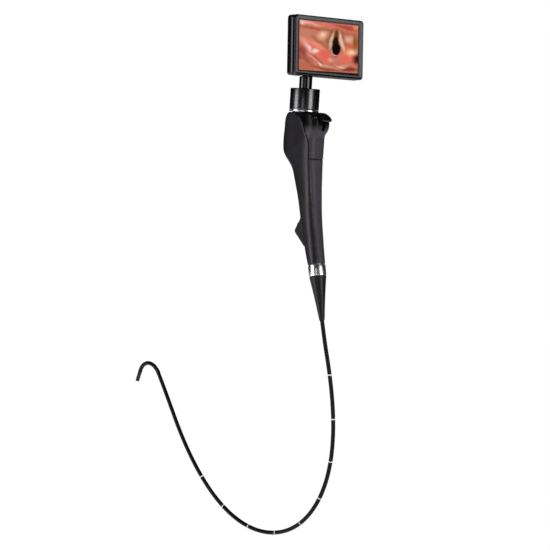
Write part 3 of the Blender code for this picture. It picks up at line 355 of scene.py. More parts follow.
plastics = {
    "housingPlastic": {
        "dark": (0.0030, 0.0030, 0.0034), "light": (0.005, 0.005, 0.0058), "dust": (0.02, 0.02, 0.022),
        "grain": 1500, "coarse": 0.5, "marks": 0.15,
        "rough": 0.11, "vary": 0.01, "bump": 0.01, "specular": 0.3},
    "screenSurround": {
        "dark": (0.014, 0.014, 0.017), "light": (0.022, 0.022, 0.026), "dust": (0.04, 0.04, 0.04),
        "grain": 1700, "coarse": 0.4, "marks": 0.15,
        "rough": 0.36, "vary": 0.04, "bump": 0.08, "specular": 0.4},
    # lighter band on the rim's inner step: a painted highlight of the edge catching the lamps
    "surroundHighlightBand": {
        "dark": (0.085, 0.084, 0.088), "light": (0.12, 0.119, 0.124), "dust": (0.16, 0.16, 0.16),
        "grain": 1700, "coarse": 0.4, "marks": 0.15,
        "rough": 0.34, "vary": 0.04, "bump": 0.08, "specular": 0.4},
    "gripPlastic": {
        "dark": (0.0042, 0.0039, 0.0047), "light": (0.0074, 0.0068, 0.0082), "dust": (0.024, 0.024, 0.025),
        "grain": 1300, "coarse": 0.6, "marks": 0.25,
        "rough": 0.37, "vary": 0.03, "bump": 0.2, "specular": 0.3,
        "sheen": (0.97, 0.90, 1.0)},
    # lighter than the grip covers: partly the back shell's own purple-grey, partly painted sheen standing in
    # for the broad lamp reflection on the back face
    "backPlastic": {
        "dark": (0.033, 0.0290, 0.0375), "light": (0.042, 0.0370, 0.0475), "dust": (0.055, 0.052, 0.060),
        "grain": 1300, "coarse": 0.6, "marks": 0.2,
        "rough": 0.46, "vary": 0.03, "bump": 0.2, "specular": 0.2},
    "glossBlack": {
        "dark": (0.0016, 0.0016, 0.0018), "light": (0.0028, 0.0028, 0.0031), "dust": (0.015, 0.015, 0.015),
        "grain": 700, "coarse": 0.2, "marks": 0.25,
        "rough": 0.15, "vary": 0.03, "bump": 0.02, "specular": 0.3},
    "softRubber": {
        "dark": (0.0050, 0.0048, 0.0054), "light": (0.0085, 0.0082, 0.0090), "dust": (0.03, 0.029, 0.029),
        "grain": 1100, "coarse": 0.7, "marks": 0.3,
        "rough": 0.36, "vary": 0.04, "bump": 0.15, "specular": 0.2,
        "sheen": (0.97, 0.90, 1.0)},
    "tubeSheath": {
        "dark": (0.0018, 0.0018, 0.0020), "light": (0.0032, 0.0032, 0.0035), "dust": (0.012, 0.012, 0.012),
        "grain": 1900, "coarse": 0.3, "marks": 0.25,
        "rough": 0.36, "vary": 0.03, "bump": 0.06, "specular": 0.12},
    "bendingSkin": {
        "dark": (0.0018, 0.0018, 0.0020), "light": (0.003, 0.003, 0.0033), "dust": (0.012, 0.012, 0.012),
        "grain": 1500, "coarse": 0.7, "marks": 0.25,
        "rough": 0.40, "vary": 0.03, "bump": 0.12, "specular": 0.15},
    "statusLens": {
        "dark": (0.16, 0.17, 0.17), "light": (0.22, 0.23, 0.23), "dust": (0.2, 0.2, 0.2),
        "grain": 2500, "coarse": 0.2, "marks": 0.1, "rough": 0.18, "vary": 0.02, "bump": 0.02},
    "whiteInk": {
        "dark": (0.72, 0.72, 0.70), "light": (0.86, 0.86, 0.84), "dust": (0.5, 0.5, 0.48),
        "grain": 2500, "coarse": 0.4, "marks": 0.3, "rough": 0.42, "vary": 0.06, "bump": 0.1},
    "solderMask": {
        "dark": (0.006, 0.055, 0.022), "light": (0.012, 0.085, 0.035), "dust": (0.2, 0.2, 0.12),
        "grain": 600, "coarse": 0.8, "marks": 0.5, "rough": 0.38, "vary": 0.06, "bump": 0.3},
    "darkWrap": {
        "dark": (0.02, 0.02, 0.022), "light": (0.045, 0.045, 0.048), "dust": (0.1, 0.1, 0.1),
        "grain": 800, "coarse": 0.5, "marks": 0.3, "rough": 0.4, "vary": 0.06, "bump": 0.2},
}
metals = {
    "blackMetal": {"dark": (0.078, 0.075, 0.079), "light": (0.098, 0.095, 0.099),
                   "pitch": 9000, "marks": 0.05, "rough": 0.25, "vary": 0.012, "bump": 0.03},
    "stemMetal": {"dark": (0.034, 0.033, 0.035), "light": (0.046, 0.045, 0.047),
                  "pitch": 9000, "marks": 0.05, "rough": 0.20, "vary": 0.012, "bump": 0.03},
    "chromeRing": {"dark": (0.66, 0.65, 0.67), "light": (0.72, 0.71, 0.73),
                   "pitch": 9000, "marks": 0.0, "rough": 0.27, "vary": 0.0, "bump": 0.0},
    "turnedSteel": {"dark": (0.48, 0.48, 0.50), "light": (0.62, 0.62, 0.63),
                    "pitch": 7000, "marks": 0.4, "rough": 0.26, "vary": 0.05, "bump": 0.15},
    "darkenedSteel": {"dark": (0.010, 0.010, 0.011), "light": (0.018, 0.018, 0.019), "metal": 0.5,
                      "pitch": 9000, "marks": 0.3, "rough": 0.30, "vary": 0.05, "bump": 0.08},
    "castAlloy": {"dark": (0.34, 0.34, 0.35), "light": (0.46, 0.46, 0.47),
                  "pitch": 900, "marks": 0.5, "rough": 0.48, "vary": 0.06, "bump": 0.4},
    "turnedBrass": {"dark": (0.52, 0.34, 0.12), "light": (0.66, 0.47, 0.19),
                    "pitch": 7000, "marks": 0.4, "rough": 0.28, "vary": 0.05, "bump": 0.12},
}
finishes = {name: mouldedPlastic(name, look) for name, look in plastics.items()}
finishes.update({name: workedMetal(name, look) for name, look in metals.items()})


# polished black round the controls that turns to the satin of the back lower down; the soft fade by height,
# darkest at the top of the back, is painted shade under the lever
def capPlastic():
    made, tree, shader, place = startMaterial("capPlastic")
    look = {"grain": 1300.0, "coarse": 0.6, "marks": 0.25, "top": 84.5, "low": 75.0, "bump": 0.22,
            "polished": (0.0018, 0.0018, 0.002), "lighter": (0.003, 0.003, 0.0034),
            "dust": (0.04, 0.039, 0.042), "polishedRough": 0.22, "satinRough": 0.42, "coatIor": 1.24,
            "specular": 0.06}
    back = plastics["backPlastic"]
    grain = useGroup(tree, "grain", {"Vector": place, "Scale": look["grain"], "Coarseness": look["coarse"]})
    marks = useGroup(tree, "handling", {"Vector": place, "Amount": look["marks"]})
    height = addNode(tree, "SeparateXYZ", {0: place}).outputs[2]
    # height mask, 1 below low and 0 above top: the fade darkens the back's satin to black, painted shade cast
    # by the lever
    satinFadeWithPaintedShade = spread(tree, height, look["top"] * mm, look["low"] * mm)
    polished = blendColours(tree, grain["Tone"], opaque(look["polished"]), opaque(look["lighter"]))
    tone = spread(tree, grain["Tone"], 0.35, 0.65)
    matt = blendColours(tree, tone, opaque(back["dark"]), opaque(back["light"]))
    colour = blendColours(tree, satinFadeWithPaintedShade, polished, matt)
    rough = spread(tree, satinFadeWithPaintedShade, 0.0, 1.0, look["polishedRough"], look["satinRough"])
    texture = calc(tree, "MULTIPLY", grain["Height"], satinFadeWithPaintedShade)
    bump = addNode(tree, "Bump", {"Height": texture, "Strength": look["bump"], "Distance": 0.12 * mm})
    connect(tree, shader, {
        "Base Color": blendColours(tree, marks["Smudge"], colour, opaque(look["dust"])),
        "Roughness": calc(tree, "MULTIPLY_ADD", marks["Smudge"], 0.3, rough),
        "Coat Weight": satinFadeWithPaintedShade, "Coat Roughness": look["satinRough"], "Coat IOR": look["coatIor"],
        "Specular IOR Level": look["specular"], "Normal": bump.outputs[0]})
    made.diffuse_color = (0.02, 0.02, 0.022, 1)
    return made


def clearGlass():
    made, tree, shader, place = startMaterial("coverGlass")
    look = {"tint": (0.93, 0.94, 0.95), "rough": 0.01, "marks": 0.35, "ior": 1.46}
    marks = useGroup(tree, "handling", {"Vector": place, "Amount": look["marks"]})
    connect(tree, shader, {
        "Base Color": opaque(look["tint"]), "Transmission Weight": 1.0, "IOR": look["ior"],
        "Roughness": calc(tree, "MULTIPLY_ADD", marks["Smudge"], 0.12, look["rough"])})
    return made


panelLow, panelHigh = (Vector(corner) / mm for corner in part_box("lcd_panel"))
border = 1.6   # unlit edge of the panel
picture = {"left": panelLow.x + border, "right": panelHigh.x - border, "top": panelHigh.z - border,
           "lowLeft": 145.5, "lowRight": 147.3, "glow": 1.04, "lostInGloss": 0.85,
           "ripple": (0.007, 0.0, 0.005), "unlit": (0.010, 0.008, 0.008),
           "ground": ((196, 112, 90), (214, 132, 108)), "haze": (240, 160, 140)}
# the tissue seen by the camera: middle and half sizes in mm, turn in degrees, softness, sRGB colour
# later ones lie on top
tissue = [
    ((-4.8, 201.3), (32.4, 4.6), -6, 0.7, (247, 178, 170)),   # pale top edge
    ((22.6, 199.6), (62.9, 3.0), -6, 0.7, (226, 122, 104)),   # red band
    ((53.7, 198.1), (29.6, 3.8), -5, 0.8, (190, 76, 64)),
    ((16.9, 193.2), (59.3, 2.5), -3, 0.9, (170, 92, 72)),   # shadow under it
    ((68.5, 199.5), (6.4, 4.9), 0, 0.9, (236, 146, 104)),
    ((-1.9, 186.4), (27.6, 7.4), -12, 0.9, (206, 136, 110)),   # left wall
    ((4.7, 184.4), (8.5, 4.1), -20, 0.9, (190, 116, 100)),
    ((18.7, 187.4), (15.5, 7.7), 0, 1.0, (244, 192, 154)),
    ((55.5, 190.9), (14.8, 4.9), -10, 0.9, (190, 110, 84)),   # right wall
    ((55.7, 184.2), (12.7, 7.3), 10, 1.0, (240, 180, 152)),
    ((66.4, 181.5), (5.1, 15.7), 0, 0.8, (156, 92, 40)),   # brown furrow
    ((55.0, 177.2), (17.0, 4.5), -5, 0.9, (204, 108, 74)),
    ((-6.7, 179.5), (23.2, 4.3), -20, 1.0, (238, 154, 126)),   # left fold
    ((14.8, 178.3), (21.2, 3.3), -24, 0.9, (184, 108, 82)),   # crease above it
    ((6.7, 168.2), (32.4, 11.4), -24, 0.7, (238, 122, 104)),
    ((9.9, 174.8), (20.1, 4.9), -24, 0.9, (244, 150, 124)),
    ((23.4, 164.4), (15.3, 8.7), -10, 0.8, (236, 108, 92)),
    ((-4.9, 172.4), (15.9, 4.9), -45, 0.9, (248, 186, 176)),
    ((53.5, 167.8), (18.7, 12.1), 0, 0.7, (238, 124, 98)),   # right fold
    ((60.7, 170.3), (13.3, 6.4), 10, 1.0, (252, 196, 150)),
    ((48.6, 161.8), (13.8, 7.4), 0, 0.9, (238, 114, 100)),
    ((-14.6, 165.4), (12.8, 12.9), 20, 0.7, (154, 74, 68)),   # lower left furrow
    ((-7.9, 159.0), (23.4, 4.7), -32, 0.8, (170, 92, 80)),
    ((-11.8, 150.0), (24.5, 9.4), -10, 0.8, (192, 112, 84)),   # lower lip
    ((11.9, 158.2), (27.6, 2.9), -28, 0.9, (186, 104, 88)),
    ((5.3, 159.3), (21.0, 1.5), -30, 1.0, (236, 170, 150)),   # ridge
    ((23.7, 153.0), (21.0, 2.2), -10, 1.0, (226, 160, 136)),
    ((50.5, 154.3), (19.9, 2.6), 12, 1.0, (216, 146, 120)),
    ((23.8, 149.1), (35.0, 2.3), -5, 0.9, (146, 78, 54)),
    ((58.2, 150.6), (20.4, 3.6), 3, 0.8, (140, 58, 38)),
    ((46.3, 151.7), (10.0, 2.2), 0, 1.0, (238, 190, 168)),
    ((68.1, 162.5), (9.2, 8.7), 20, 0.8, (104, 30, 26)),   # dark corner
    ((69.7, 163.9), (3.2, 5.7), 0, 0.9, (40, 14, 22)),
    ((38.5, 161.7), (11.7, 6.1), 0, 0.9, (206, 132, 116)),   # under the gap
    ((30.2, 159.5), (7.7, 3.4), -20, 1.0, (246, 166, 146)),
    ((37.2, 181.9), (17.8, 17.9), 0, 0.5, (150, 98, 68)),   # shade round the folds
    ((30.6, 181.8), (3.0, 14.6), -13, 0.6, (216, 184, 156)),   # left cord
    ((45.8, 181.8), (3.4, 15.2), 19, 0.6, (230, 194, 166)),   # right cord
    ((31.8, 168.2), (1.7, 4.5), 20, 0.9, (200, 156, 156)),
    ((37.6, 164.1), (6.4, 2.0), 0, 0.9, (160, 92, 90)),
    ((36.9, 165.9), (5.5, 1.4), 0, 1.0, (226, 184, 200)),
    ((37.8, 187.2), (3.8, 9.5), 0, 0.5, (112, 60, 26)),   # the gap
    ((38.0, 180.2), (5.6, 9.6), 0, 0.4, (40, 16, 8)),
    ((38.4, 173.2), (7.4, 7.6), 0, 0.2, (12, 5, 4)),
    ((-3.3, 172.0), (4.6, 2.0), -30, 1.0, (255, 236, 232)),   # wet highlights
    ((6.4, 168.3), (7.3, 3.4), 0, 1.0, (255, 240, 228)),
    ((15.3, 153.7), (4.9, 1.5), -20, 1.0, (255, 226, 204)),
    ((61.5, 170.6), (5.5, 2.9), 0, 1.0, (255, 222, 190)),
    ((17.9, 188.0), (5.5, 2.9), 0, 1.0, (252, 212, 180)),
    ((-12.9, 199.1), (6.6, 2.9), 0, 1.0, (252, 206, 200)),
]


# an sRGB colour of 0 to 255 as light
def plainLight(colour):
    return (*[(c / 255 / 12.92) if c < 11 else ((c / 255 + 0.055) / 1.055) ** 2.4 for c in colour], 1)


# a generic view down an airway: folds either side of a dark gap, wet highlights, warm tissue
def tissueView(tree, place):
    fine = noise(tree, place, 210.0, 4.0)[0]
    ripple = noise(tree, place, 70.0, 3.0)["Color"]
    centred = addNode(tree, "VectorMath", {0: ripple, 1: (0.5, 0.5, 0.5)}, operation="SUBTRACT").outputs[0]
    shift = {0: centred, 1: picture["ripple"], 2: place}
    moved = addNode(tree, "VectorMath", shift, operation="MULTIPLY_ADD").outputs[0]
    colour = blendColours(tree, spread(tree, fine, 0.3, 0.7), *map(plainLight, picture["ground"]))
    for (x, z), (rx, rz), turn, soft, tone in tissue:
        spot = {"Vector": moved, "Location": (x * mm, 0.0, z * mm), "Rotation": (0.0, radians(-turn), 0.0),
                "Scale": (rx * mm, 1000.0, rz * mm)}
        onSpot = addNode(tree, "Mapping", spot, vector_type="TEXTURE").outputs[0]
        ball = addNode(tree, "TexGradient", {"Vector": onSpot}, gradient_type="SPHERICAL").outputs["Fac"]
        colour = blendColours(tree, spread(tree, ball, 0.0, soft), colour, plainLight(tone))
    haze = spread(tree, fine, 0.35, 0.75, 0.0, 0.25)
    return blendColours(tree, haze, colour, plainLight(picture["haze"]), "SOFT_LIGHT")


# 1 inside the picture's edges and on the panel's front, 0 outside them
def litArea(tree, place):
    x, y, z = addNode(tree, "SeparateXYZ", {0: place}).outputs
    fade = 0.5   # mm over which the picture ends
    lean = (picture["lowRight"] - picture["lowLeft"]) / (picture["right"] - picture["left"])
    across = calc(tree, "SUBTRACT", x, picture["left"] * mm)
    over = calc(tree, "SUBTRACT", z, calc(tree, "MULTIPLY_ADD", across, lean, picture["lowLeft"] * mm))
    lit = calc(tree, "MULTIPLY", spread(tree, over, -0.3 * mm, 0.3 * mm),
               spread(tree, z, picture["top"] * mm, (picture["top"] - fade) * mm))
    for side, inwards in (("left", fade), ("right", -fade)):
        lit = calc(tree, "MULTIPLY", lit, spread(tree, x, picture[side] * mm, (picture[side] + inwards) * mm))
    frontOnly = spread(tree, y, (panelLow.y + 0.2) * mm, (panelLow.y + 0.1) * mm)
    return calc(tree, "MULTIPLY", lit, frontOnly)


def screenPicture():
    made, tree, shader, place = startMaterial("screenPicture")
    colour = blendColours(tree, litArea(tree, place), opaque(picture["unlit"]), tissueView(tree, place))
    glossy = calc(tree, "MINIMUM", addNode(tree, "LightPath").outputs["Glossy Depth"], 1.0)
    direct = calc(tree, "MULTIPLY_ADD", glossy, -picture["lostInGloss"], 1.0)
    connect(tree, shader, {
        "Base Color": (0.0, 0.0, 0.0, 1), "Roughness": 0.2, "Specular IOR Level": 0.05,
        "Emission Color": blendColours(tree, direct, (0.0, 0.0, 0.0, 1), colour),
        "Emission Strength": picture["glow"]})
    return made


finishes.update(capPlastic=capPlastic(), coverGlass=clearGlass(), screenPicture=screenPicture())
print("materials ready:", len(bpy.data.materials))


# camera, at the photograph's place

# place and sensor in mm, turns in degrees
view = {"place": (-1753.6, -2066.5, -86.05), "azimuth": -39.5, "roll": 1.0, "sensor": 36,
        "focalPixels": 2400, "photoPixels": 550}


def makeCamera():
    turn = radians(view["azimuth"])
    right = Vector((cos(turn), sin(turn), 0))
    back = Vector((sin(turn), -cos(turn), 0))
    up = Vector((0, 0, 1))
    roll = radians(view["roll"])
    tilted = right * cos(roll) + up * sin(roll)
    raised = up * cos(roll) - right * sin(roll)
    lens = bpy.data.cameras.new("camera")
    lens.lens = view["focalPixels"] / view["photoPixels"] * view["sensor"]
    lens.sensor_width = view["sensor"]
    lens.clip_start = 0.1
    lens.clip_end = 60
    camera = bpy.data.objects.new("camera", lens)
    scene.collection.objects.link(camera)
    turned = Matrix((tilted, raised, back)).transposed().to_4x4()
    camera.matrix_world = Matrix.Translation(Vector(view["place"]) * mm) @ turned
    scene.camera = camera


makeCamera()


# insertion tube with its white rings

# the loop from the boot's mouth to the bending section, point by point
tubeRoute = [
    (0.0, -22.9, -138.5), (1.6, -27.9, -163.7), (4.5, -31.3, -189.7), (7.6, -33.1, -215.8),
    (10.9, -32.6, -242.0), (14.2, -29.3, -267.9), (17.4, -22.6, -293.2), (20.5, -11.9, -317.1),
    (23.3, 2.8, -338.8), (25.7, 21.4, -357.4), (27.6, 43.2, -372.0), (28.9, 67.6, -381.9),
    (29.5, 93.5, -386.7), (29.4, 119.8, -386.4), (28.7, 145.6, -381.0), (27.4, 169.9, -370.9),
    (25.6, 192.1, -356.8), (23.4, 211.8, -339.4), (20.8, 229.0, -319.6), (18.1, 244.1, -298.2),
    (15.2, 257.2, -275.5), (12.2, 268.7, -251.9), (9.2, 280.0, -228.3),
]
tube = {"diameter": 4.8, "inBoot": 10.0, "ringFirst": 62.0, "ringStep": 50.0, "ringCount": 9, "ringWidth": 1.3,
        "ringDeep": 0.3, "ringProud": 0.05, "ringLip": 0.02, "ringEdge": 0.12, "linePoints": 260}
tail = {"place": (0, -12.65, -74.2), "lean": radians(9.93), "ring": 19.7, "ringFrom": -0.3, "ringTo": -12.6,
        "bootFrom": -12.9, "bootTo": -62.6, "bootTip": 6.2, "bootHole": 2.42, "bootSag": 0.35, "bootSteps": 24}
bend = {"start": (6.3, 291.6, -205.3), "heading": radians(63), "step": radians(20), "lean": radians(7.4),
        "link": 7.5, "count": 6, "baseRing": 4.0, "gap": 0.3, "skin": 4.9, "reach": 1.9, "skinSteps": 12,
        "sleeveTo": 8.35, "bandNear": 0.6, "bandFar": 4.6}
loopForward = Vector((0, 1, 0))
loopUp = Vector((-sin(bend["lean"]), 0, cos(bend["lean"])))
loopAcross = loopForward.cross(loopUp)


def towards(heading):
    return cos(heading) * loopForward + sin(heading) * loopUp


# a soft curve through the points as a number of evenly spaced ones, and its length
def smoothLine(points, count):
    points = [Vector(p) for p in points]
    closeness = 16
    times = [0.0]
    for a, b in zip(points, points[1:]):
        times.append(times[-1] + (b - a).length)
    last = len(points) - 1
    slopes = []
    for k in range(last + 1):
        before, after = max(k - 1, 0), min(k + 1, last)
        slopes.append((points[after] - points[before]) / (times[after] - times[before]))
    fine = []
    for k in range(last):
        span = times[k + 1] - times[k]
        for n in range(closeness):
            t = n / closeness
            fine.append((2 * t ** 3 - 3 * t ** 2 + 1) * points[k] + (t ** 3 - 2 * t ** 2 + t) * span * slopes[k]
                        + (3 * t ** 2 - 2 * t ** 3) * points[k + 1] + (t ** 3 - t ** 2) * span * slopes[k + 1])
    fine.append(points[-1])
    run = [0.0]
    for a, b in zip(fine, fine[1:]):
        run.append(run[-1] + (b - a).length)
    even = []
    k = 0
    for n in range(count):
        goal = run[-1] * n / (count - 1)
        while k < len(run) - 2 and run[k + 1] < goal:
            k += 1
        even.append(fine[k].lerp(fine[k + 1], min(1.0, (goal - run[k]) / (run[k + 1] - run[k]))))
    return even, run[-1]


def curvePiece(name, points, radius):
    curve = bpy.data.curves.new(name, "CURVE")
    curve.dimensions = "3D"
    curve.bevel_depth = radius * mm
    curve.bevel_resolution = 5
    curve.use_fill_caps = True
    line = curve.splines.new("POLY")
    line.points.add(len(points) - 1)
    for slot, p in zip(line.points, points):
        slot.co = (*(p * mm), 1.0)
    line.use_smooth = True
    piece = bpy.data.objects.new(name, curve)
    scene.collection.objects.link(piece)
    return piece


tailMatrix = Matrix.Translation(Vector(tail["place"]) * mm) @ Matrix.Rotation(-tail["lean"], 4, "X")
tailDown = Vector((0, -sin(tail["lean"]), -cos(tail["lean"])))
mouth = Vector(tail["place"]) - tail["bootTo"] * tailDown
bendStart = Vector(bend["start"])
tubeEnd = bendStart - (bend["baseRing"] + bend["gap"]) * towards(bend["heading"])
route = [mouth - tube["inBoot"] * tailDown, mouth - tube["inBoot"] / 2 * tailDown, mouth, *tubeRoute[1:],
         tubeEnd - 3 * towards(bend["heading"]), tubeEnd]
tubeLine, tubeLength = smoothLine(route, tube["linePoints"])
tubePiece = curvePiece("insertionTube", tubeLine, tube["diameter"] / 2)
give(tubePiece, "handle", "tubeSheath", "tube_sheath", "insertion_tube")


# point and direction at a distance from the boot's mouth
def alongTube(distance):
    share = (distance + tube["inBoot"]) / tubeLength * (len(tubeLine) - 1)
    k = min(len(tubeLine) - 2, max(0, int(share)))
    return tubeLine[k].lerp(tubeLine[k + 1], share - k), (tubeLine[k + 1] - tubeLine[k]).normalized()


half = tube["ringWidth"] / 2
r = tube["diameter"] / 2
inner, lip, outer = r - tube["ringDeep"], r + tube["ringLip"], r + tube["ringProud"]
ringShape = [(inner, -half), (lip, -half), (outer, -half + tube["ringEdge"]), (outer, half - tube["ringEdge"]),
             (lip, half), (inner, half)]
for k in range(tube["ringCount"]):
    middle, along = alongTube(tube["ringFirst"] + k * tube["ringStep"])
    place = Matrix.Translation(middle * mm) @ along.to_track_quat("Z", "Y").to_matrix().to_4x4()
    ringMark = turnedPiece(f"tubeRing{k + 1}", ringShape, place, 48)
    give(ringMark, "handle", "whiteInk", "tube_sheath")
print("tube", round(tubeLength, 1), "mm with", tube["ringCount"], "rings")


# bending section: one length of rubber skin over each hinge

def bendHinges():
    place, heading, hinges = bendStart.copy(), bend["heading"], []
    for _ in range(bend["count"]):
        heading -= bend["step"]
        hinges.append((place.copy(), heading))
        place = place + bend["link"] * towards(heading)
    return hinges


# a closed sleeve round a line in the loop's plane
def skinTube(name, line, radius):
    verts, faces, steps = [], [], 40
    for k, point in enumerate(line):
        before, after = line[max(k - 1, 0)], line[min(k + 1, len(line) - 1)]
        side = (after - before).normalized().cross(loopAcross)
        for n in range(steps):
            a = 2 * pi * n / steps
            verts.append((point + radius * (cos(a) * loopAcross + sin(a) * side)) * mm)
    for k in range(len(line) - 1):
        for n in range(steps):
            m = (n + 1) % steps
            faces.append((k * steps + n, k * steps + m, (k + 1) * steps + m, (k + 1) * steps + n))
    faces.append(tuple(range(steps - 1, -1, -1)))
    faces.append(tuple(range((len(line) - 1) * steps, len(line) * steps)))
    mesh = bpy.data.meshes.new(name)
    mesh.from_pydata(verts, [], faces)
    piece = bpy.data.objects.new(name, mesh)
    scene.collection.objects.link(piece)
    turnOutwards(piece)
    smoothFaces(piece, 50)
    return piece


hinges = bendHinges()
for k, (hinge, heading) in enumerate(hinges):
    before = bend["heading"] if k == 0 else hinges[k - 1][1]
    start = tubeEnd + bend["gap"] * towards(before) if k == 0 else hinge - bend["link"] / 2 * towards(before)
    end = hinge + (bend["sleeveTo"] if k == bend["count"] - 1 else bend["link"] / 2) * towards(heading)
    a, b = hinge - bend["reach"] * towards(before), hinge + bend["reach"] * towards(heading)
    line = [start]
    for n in range(bend["skinSteps"] + 1):
        t = n / bend["skinSteps"]
        line.append((1 - t) ** 2 * a + 2 * t * (1 - t) * hinge + t ** 2 * b)
    skin = skinTube(f"bendingSkin{k + 1}", [*line, end], bend["skin"] / 2)
    skin.data.materials.append(finishes["bendingSkin"])
    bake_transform(skin)

# a glued band closes the skins at either end
r = bend["skin"] / 2
bandShape = [(r - 0.2, 0.0), (r + 0.04, 0.1), (r + 0.09, 0.5),
             (r + 0.09, 2.6), (r + 0.04, 3.0), (r - 0.2, 3.1)]
lastHinge, lastHeading = hinges[-1]
bandEnds = (("skinBandNear", tubeEnd + bend["bandNear"] * towards(bend["heading"]), bend["heading"], "handle"),
            ("skinBandFar", lastHinge + bend["bandFar"] * towards(lastHeading), lastHeading, "tip"))
for name, at, heading, body in bandEnds:
    axis = towards(heading)
    turned = Matrix((loopAcross, axis.cross(loopAcross), axis)).transposed().to_4x4()
    band = turnedPiece(name, bandShape, Matrix.Translation(at * mm) @ turned, 48)
    give(band, body, "glossBlack", "rubber")
print("bending section over", bend["count"], "hinges")


# tail ring and boot

r = tail["ring"] / 2
ringShape = ringProfile(r, tail["ringTo"], tail["ringFrom"], wall=2.0, edge=0.5, middle=(0.12, 0.12))
give(turnedPiece("tailRing", ringShape, tailMatrix, 128), "handle", "chromeRing", "chrome", "ferrule_ring")


# a shoulder, a slightly hollow taper and a rounded mouth round the tube
def bootProfile():
    start, end, tip, hole = tail["bootFrom"], tail["bootTo"], tail["bootTip"] / 2, tail["bootHole"]
    profile = [(r - 1.6, start), (r - 0.5, start), (r - 0.2, start - 0.3)]
    shoulder = r - 0.15
    for n in range(1, tail["bootSteps"] + 1):
        t = n / tail["bootSteps"]
        sag = tail["bootSag"] * sin(pi * t)
        profile.append((shoulder + (tip - shoulder) * t - sag, start + (end - start) * t))
    return profile + [(tip - 0.25, end - 0.25), (hole, end - 0.28), (hole, end + 2)]


give(turnedPiece("bootSleeve", bootProfile(), tailMatrix), "handle", "softRubber", "rubber", "boot")


# head: trim ring, collar, stem

head = {"place": (0, 14.4, 99.3), "lean": radians(4.0), "hinge": 49.82}
collar = {"across": 33.4, "from": 2.3, "to": 26.5, "grooveAt": 1.5, "grooveSide": 0.12, "grooveWide": 0.33,
          "grooveDeep": 0.22, "bore": 7.65}
trim = {"across": 33.6, "from": 0.3, "to": 2.0}
stem = {"across": 14.7, "from": 11.4, "to": 40.22, "spigot": 5.0, "flange": 10.7, "flangeFrom": 16.1,
        "flangeTo": 18.6, "line": 0.18, "neck": 4.4, "knuckle": 8.8, "knuckleWidth": 13.0}
headMatrix = Matrix.Translation(Vector(head["place"]) * mm) @ Matrix.Rotation(head["lean"], 4, "X")


def collarProfile():
    r, low, top = collar["across"] / 2, collar["from"], collar["to"]
    deep, bore = r - collar["grooveDeep"], collar["bore"]
    foot = [(r - 3, low), (r - 0.7, low), (r - 0.2, low + 0.2), (r, low + 0.7)]
    start = low + collar["grooveAt"]
    floor = start + collar["grooveSide"]
    floorEnd = floor + collar["grooveWide"]
    groove = [(r, start), (deep, floor), (deep, floorEnd), (r, floorEnd + collar["grooveSide"])]
    shoulder = [(r, top - 0.8), (r - 0.22, top - 0.25), (r - 0.8, top)]
    inside = [(bore + 0.55, top), (bore + 0.2, top - 0.15), (bore, top - 0.5), (bore, top - 4)]
    return foot + groove + shoulder + inside


def stemProfile():
    r, top, spigot, flange, neck = stem["across"] / 2, stem["to"], stem["spigot"], stem["flange"], stem["neck"]
    foot = [(spigot, stem["from"]), (spigot, stem["flangeFrom"]), (flange, stem["flangeFrom"]),
            (flange, stem["flangeTo"]), (r, stem["flangeTo"])]
    line = [(r, top - 3.0), (r - stem["line"], top - 2.9), (r - stem["line"], top - 2.5), (r, top - 2.4)]
    crown = [(r, top - 0.7), (r - 0.2, top - 0.2), (r - 0.7, top)]
    return foot + line + crown + [(neck + 0.2, top), (neck, top + 0.2), (neck, head["hinge"])]


collarPiece = turnedPiece("swivelCollar", collarProfile(), headMatrix, 128)
give(collarPiece, "handle", "blackMetal", "black_metal", "swivel_collar")
trimShape = ringProfile(trim["across"] / 2, trim["from"], trim["to"], wall=4.0, edge=0.35, middle=(0.05, 0.1))
give(turnedPiece("trimRing", trimShape, headMatrix, 128), "handle", "chromeRing", "chrome", "trim_ring")
stemPiece = turnedPiece("stemTube", stemProfile(), headMatrix)
knuckle = rodPiece(stem["knuckle"] / 2, stem["knuckleWidth"], 64, (0, pi / 2, 0))
softenEdges(knuckle, 0.5, 3)
knuckle.data.transform(headMatrix @ Matrix.Translation((0, 0, head["hinge"] * mm)))
carve(stemPiece, knuckle, operation="UNION")
smoothFaces(stemPiece, 40)
give(stemPiece, "stem", "stemMetal", "black_metal", "stem")
print("head ready")


# monitor

bezelLow, bezelHigh = (Vector(corner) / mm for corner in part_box("monitor_bezel"))
monitor = {"x": (bezelLow.x, bezelHigh.x), "y": (2.1, 17.5), "z": (bezelLow.z, bezelHigh.z), "corner": 4.0,
           "edge": 1.5, "rim": 2.8, "split": 7.1, "joint": 0.3, "border": (6.8, 5.6), "slope": 1.0, "wall": 2.0,
           "flare": (0.6, 1.75), "backEdge": 2.4, "panel": 6.2, "panelLine": 0.4, "panelDeep": 0.25,
           "surroundHighlightBand": 0.34, "pocket": 8.2, "pocketFrom": 3.2, "pocketTop": 157.3, "pocketEdge": 1.4,
           "block": 11.8, "buttonWell": 3.3, "vents": 9, "ventFrom": (28.0, 192.0), "ventSize": (1.1, 6.5),
           "ventStep": 2.6}


